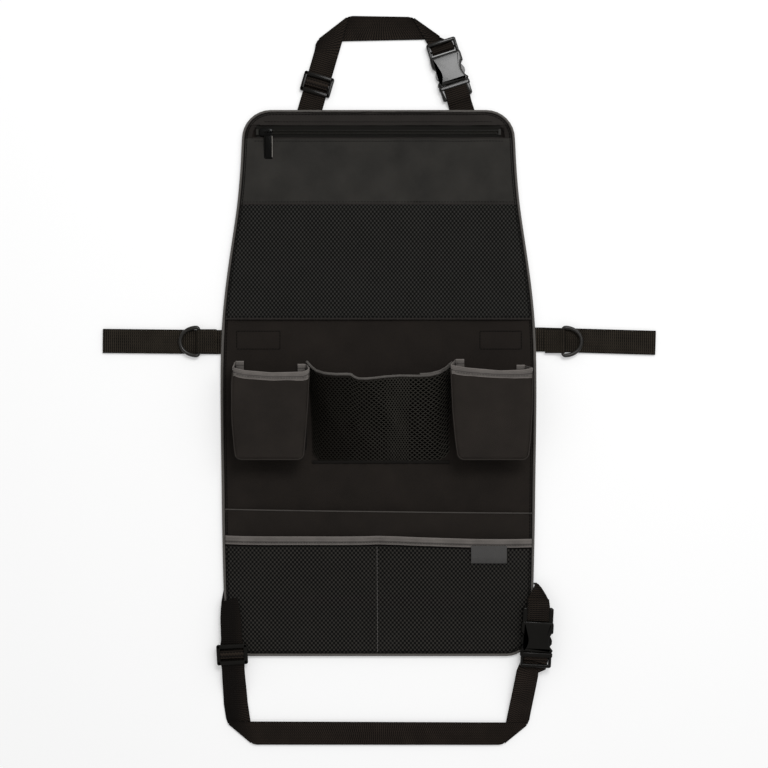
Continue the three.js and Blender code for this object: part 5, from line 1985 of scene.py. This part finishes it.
@dataclass
class Buckle:
    """A side-release buckle: a socket, and a plug whose latch arms show at the waist."""

    finishes: Finishes
    name: str
    axis: Axis
    socket_body: Body
    plug_body: Body
    socket_covered: bool
    plastic: bpy.types.Material
    half: float = 16.5
    height: float = 8.5
    mouth: float = 46.0
    length: float = 62.0

    def build(self) -> None:
        """Builds both halves."""
        self.socket()
        self.plug()

    @staticmethod
    def even(points: Sequence[Pair]) -> list[Pair]:
        """Mirrors the right side of an outline, given as distances across and along, onto the left.

        Args:
            points: The right side, from the start to the far end.

        Returns:
            The whole outline, anticlockwise.
        """
        right = [(x, -s) for x, s in points]
        return [(-x, y) for x, y in right] + right[::-1]

    def window(self, form: Form, end: float, inward: int, covered: bool) -> None:
        """Adds the rails and bars round the webbing's window.

        Args:
            form: The half's form.
            end: Where the half ends along the buckle.
            inward: The direction from that end into the buckle.
            covered: Whether the webbing goes over the end bar.
        """
        def reach(a: float, b: float) -> Pair:
            """Gives two distances from the end as places, lower first."""
            return span(-1, end + inward * a, end + inward * b)

        inner = 11.3 if covered else 13.0
        for s in (-1, 1):
            form.box(span(s, inner, self.half - 0.7), reach(0.6, 17.0), (0.0, 7.4), 1.1, 1.2)
        top = 5.9 if covered else 7.8
        form.box((-self.half + 1.2, self.half - 1.2), reach(0.0, 3.7), (top - 4.0, top), 1.3, 1.7)
        form.box((-13.5, 13.5), reach(7.9, 10.2), (1.3, 3.9), 0.8, 0.4)

    def socket(self) -> None:
        """Builds the socket with its scooped waist."""
        form = Form()
        self.window(form, 0, 1, self.socket_covered)
        start, bends = 25.0, 14
        waist = []
        for i in range(bends + 1):
            t = i / bends
            depth = 4.2 * math.sin(math.pi * t) ** 0.75 if 0 < t < 1 else 0.0
            waist.append((self.half - depth, start + 18.5 * t))
        side = [(self.half - 1.6, 14.6), (self.half - 0.5, 15.6), (self.half, 17.5), *waist,
                (self.half, 45.0), (self.half - 0.8, 45.9)]
        outline = self.even(side)
        form.block(outline, 5.9, self.height - 0.3, 1.1, 0.3)
        form.block(outline, 0.2, 2.2, 0.8)
        form.box((-15.6, 15.6), (-24.5, -14.8), (1.0, 7.0), 0.8, 1.0)
        for s in (-1, 1):
            xs = span(s, 14.0, self.half - 0.15)
            form.box(xs, (-26.5, -16), (0.5, 8.0), 0.8, 0.9)
            form.box(xs, (-45.6, -43.0), (0.5, 8.0), 0.6, 0.9)
        form.placed(self.axis.matrix())
        node = self.name + "_buckle_socket"
        form.piece(self.name + "_socket", self.plastic, "plastic", self.socket_body, [node])

    def plug(self) -> None:
        """Builds the plug with its two latch arms and its tongue."""
        form = Form()
        self.window(form, self.length, -1, not self.socket_covered)
        base = self.even(
            [(self.half - 0.6, 46.4), (self.half, 47.2), (self.half, 50.4), (self.half - 1.2, 51.2)]
        )
        form.block(base, 0.3, self.height - 0.2, 1.0, 0.25)
        for s in (-1, 1):
            arm = [(12.5, 47.5), (12.7, 43.0), (12.6, 40.5), (14.9, 37.2), (15.1, 34.0)]
            arm += [(13.9, 31.0), (12.6, 29.5), (9.8, 26.0), (8.8, 27.0), (9.3, 47.5)]
            outline = [(s * x, -y) for x, y in arm]
            form.block(outline if s < 0 else outline[::-1], 2.5, 6.0, 0.6)
        form.box((-3, 3), (-47, -30), (2.5, 6.0), 0.6, 0.8)
        form.placed(self.axis.matrix())
        form.piece(self.name + "_plug", self.plastic, "plastic", self.plug_body, [self.name + "_buckle_plug"])


# Studio


@dataclass
class Studio:
    """The plain white floor, the lights and the camera above."""

    view: Pair = (5.72, -1.04)
    reach: float = 1.6
    field_width: float = 0.79872
    ambient: float = 0.55
    key: float = 15.0
    fill: float = 2.0
    level: float = -0.0006
    glow: float = 0.27

    def camera(self) -> None:
        """Puts the camera above the panel, looking straight down."""
        data = bpy.data.cameras.new("camera")
        data.lens = data.sensor_width * self.reach / self.field_width
        made = add_object("camera", data)
        made.location = (self.view[0] * MM, self.view[1] * MM, self.reach + PANEL.front * MM)
        bpy.context.scene.camera = made

    def lights(self) -> None:
        """Adds a soft lamp at the top, a larger one far off on the right and an even surrounding light."""
        world = bpy.data.worlds.new("studio")
        world.use_nodes = True
        world.node_tree.nodes["Background"].inputs[0].default_value = (1, 1, 1, 1)
        world.node_tree.nodes["Background"].inputs[1].default_value = self.ambient
        bpy.context.scene.world = world
        self.lamp("key", (0.30, 0.85, 1.9), 0.6, self.key)
        self.lamp("side", (2.2, 1.6, 3.9), 2.4, self.fill)

    @staticmethod
    def lamp(name: str, place: Point, size: float, brightness: float) -> None:
        """Adds a square soft lamp that points at the organizer.

        Args:
            name: The lamp's name.
            place: Where it hangs, in metres.
            size: Its side.
            brightness: How bright its face is.
        """
        lamp = bpy.data.lights.new(name, "AREA")
        lamp.shape, lamp.size = "SQUARE", size
        lamp.energy = brightness * math.pi * size * size
        made = add_object(name, lamp)
        made.location = place
        made.rotation_euler = (-Vector(place)).to_track_quat("-Z", "Y").to_euler()

    def floor(self) -> None:
        """Lays the white floor."""
        mesh = bpy.data.meshes.new("floor")
        corners = [(x, y, self.level) for x, y in ((-4, -4), (4, -4), (4, 4), (-4, 4))]
        mesh.from_pydata(corners, [], [(0, 1, 2, 3)])
        shader = Shader("white_floor")
        plain = shader.node("ShaderNodeBsdfDiffuse", {}, {"Color": (1, 1, 1, 1)})
        glow = shader.node("ShaderNodeEmission", {}, {"Color": (1, 1, 1, 1), "Strength": 1.0})
        rays = shader.node("ShaderNodeLightPath")
        seen = Value(shader, rays.outputs["Is Camera Ray"]) * self.glow
        both = shader.node("ShaderNodeMixShader", {}, {0: seen, 1: plain.outputs[0], 2: glow.outputs[0]})
        shader.node("ShaderNodeOutputMaterial", {}, {"Surface": both.outputs[0]})
        mesh.materials.append(shader.material)
        add_object("floor", mesh)

    def build(self) -> None:
        """Builds the studio."""
        bpy.context.scene.view_settings.view_transform = "Standard"
        self.camera()
        self.lights()
        self.floor()


def keep_hard_parts(finishes: Finishes) -> None:
    """Gives the zip's end stops, which keep their plain solids, their finish.

    Args:
        finishes: The organizer's finishes.
    """
    for name in ("zip_stop_left", "zip_stop_right"):
        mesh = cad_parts[name].data
        mesh.materials.clear()
        mesh.materials.append(finishes.coil)


def main() -> None:
    """Builds the organizer and its studio."""
    logging.basicConfig(level=logging.INFO, format="%(message)s")
    Studio().build()
    finishes = Finishes()
    keep_hard_parts(finishes)
    panel = Panel(finishes)
    panel.build()
    ZipPocket(finishes, panel).build()
    BottlePocket(finishes, Side.LEFT, LEFT_POCKET).build()
    BottlePocket(finishes, Side.RIGHT, RIGHT_POCKET).build()
    NetPocket(finishes).build()
    LowerPockets(finishes, panel).build()
    Straps(finishes).build()
    for side in Side:
        Ring(finishes, side).build()
    Adjuster(finishes, "top", Body.TOP_ADJUSTER, TOP_ADJUSTER, -0.2836).build()
    Adjuster(finishes, "lower", Body.LOWER_ADJUSTER, LOWER_ADJUSTER, 0.0532).build()
    Buckle(finishes, "top", TOP_BUCKLE, Body.TOP_BUCKLE, Body.PANEL, False, finishes.top_plastic).build()
    Buckle(finishes, "lower", LOWER_BUCKLE, Body.PANEL, Body.LOWER_BUCKLE, True, finishes.plastic).build()


if __name__ == "__main__":
    main()
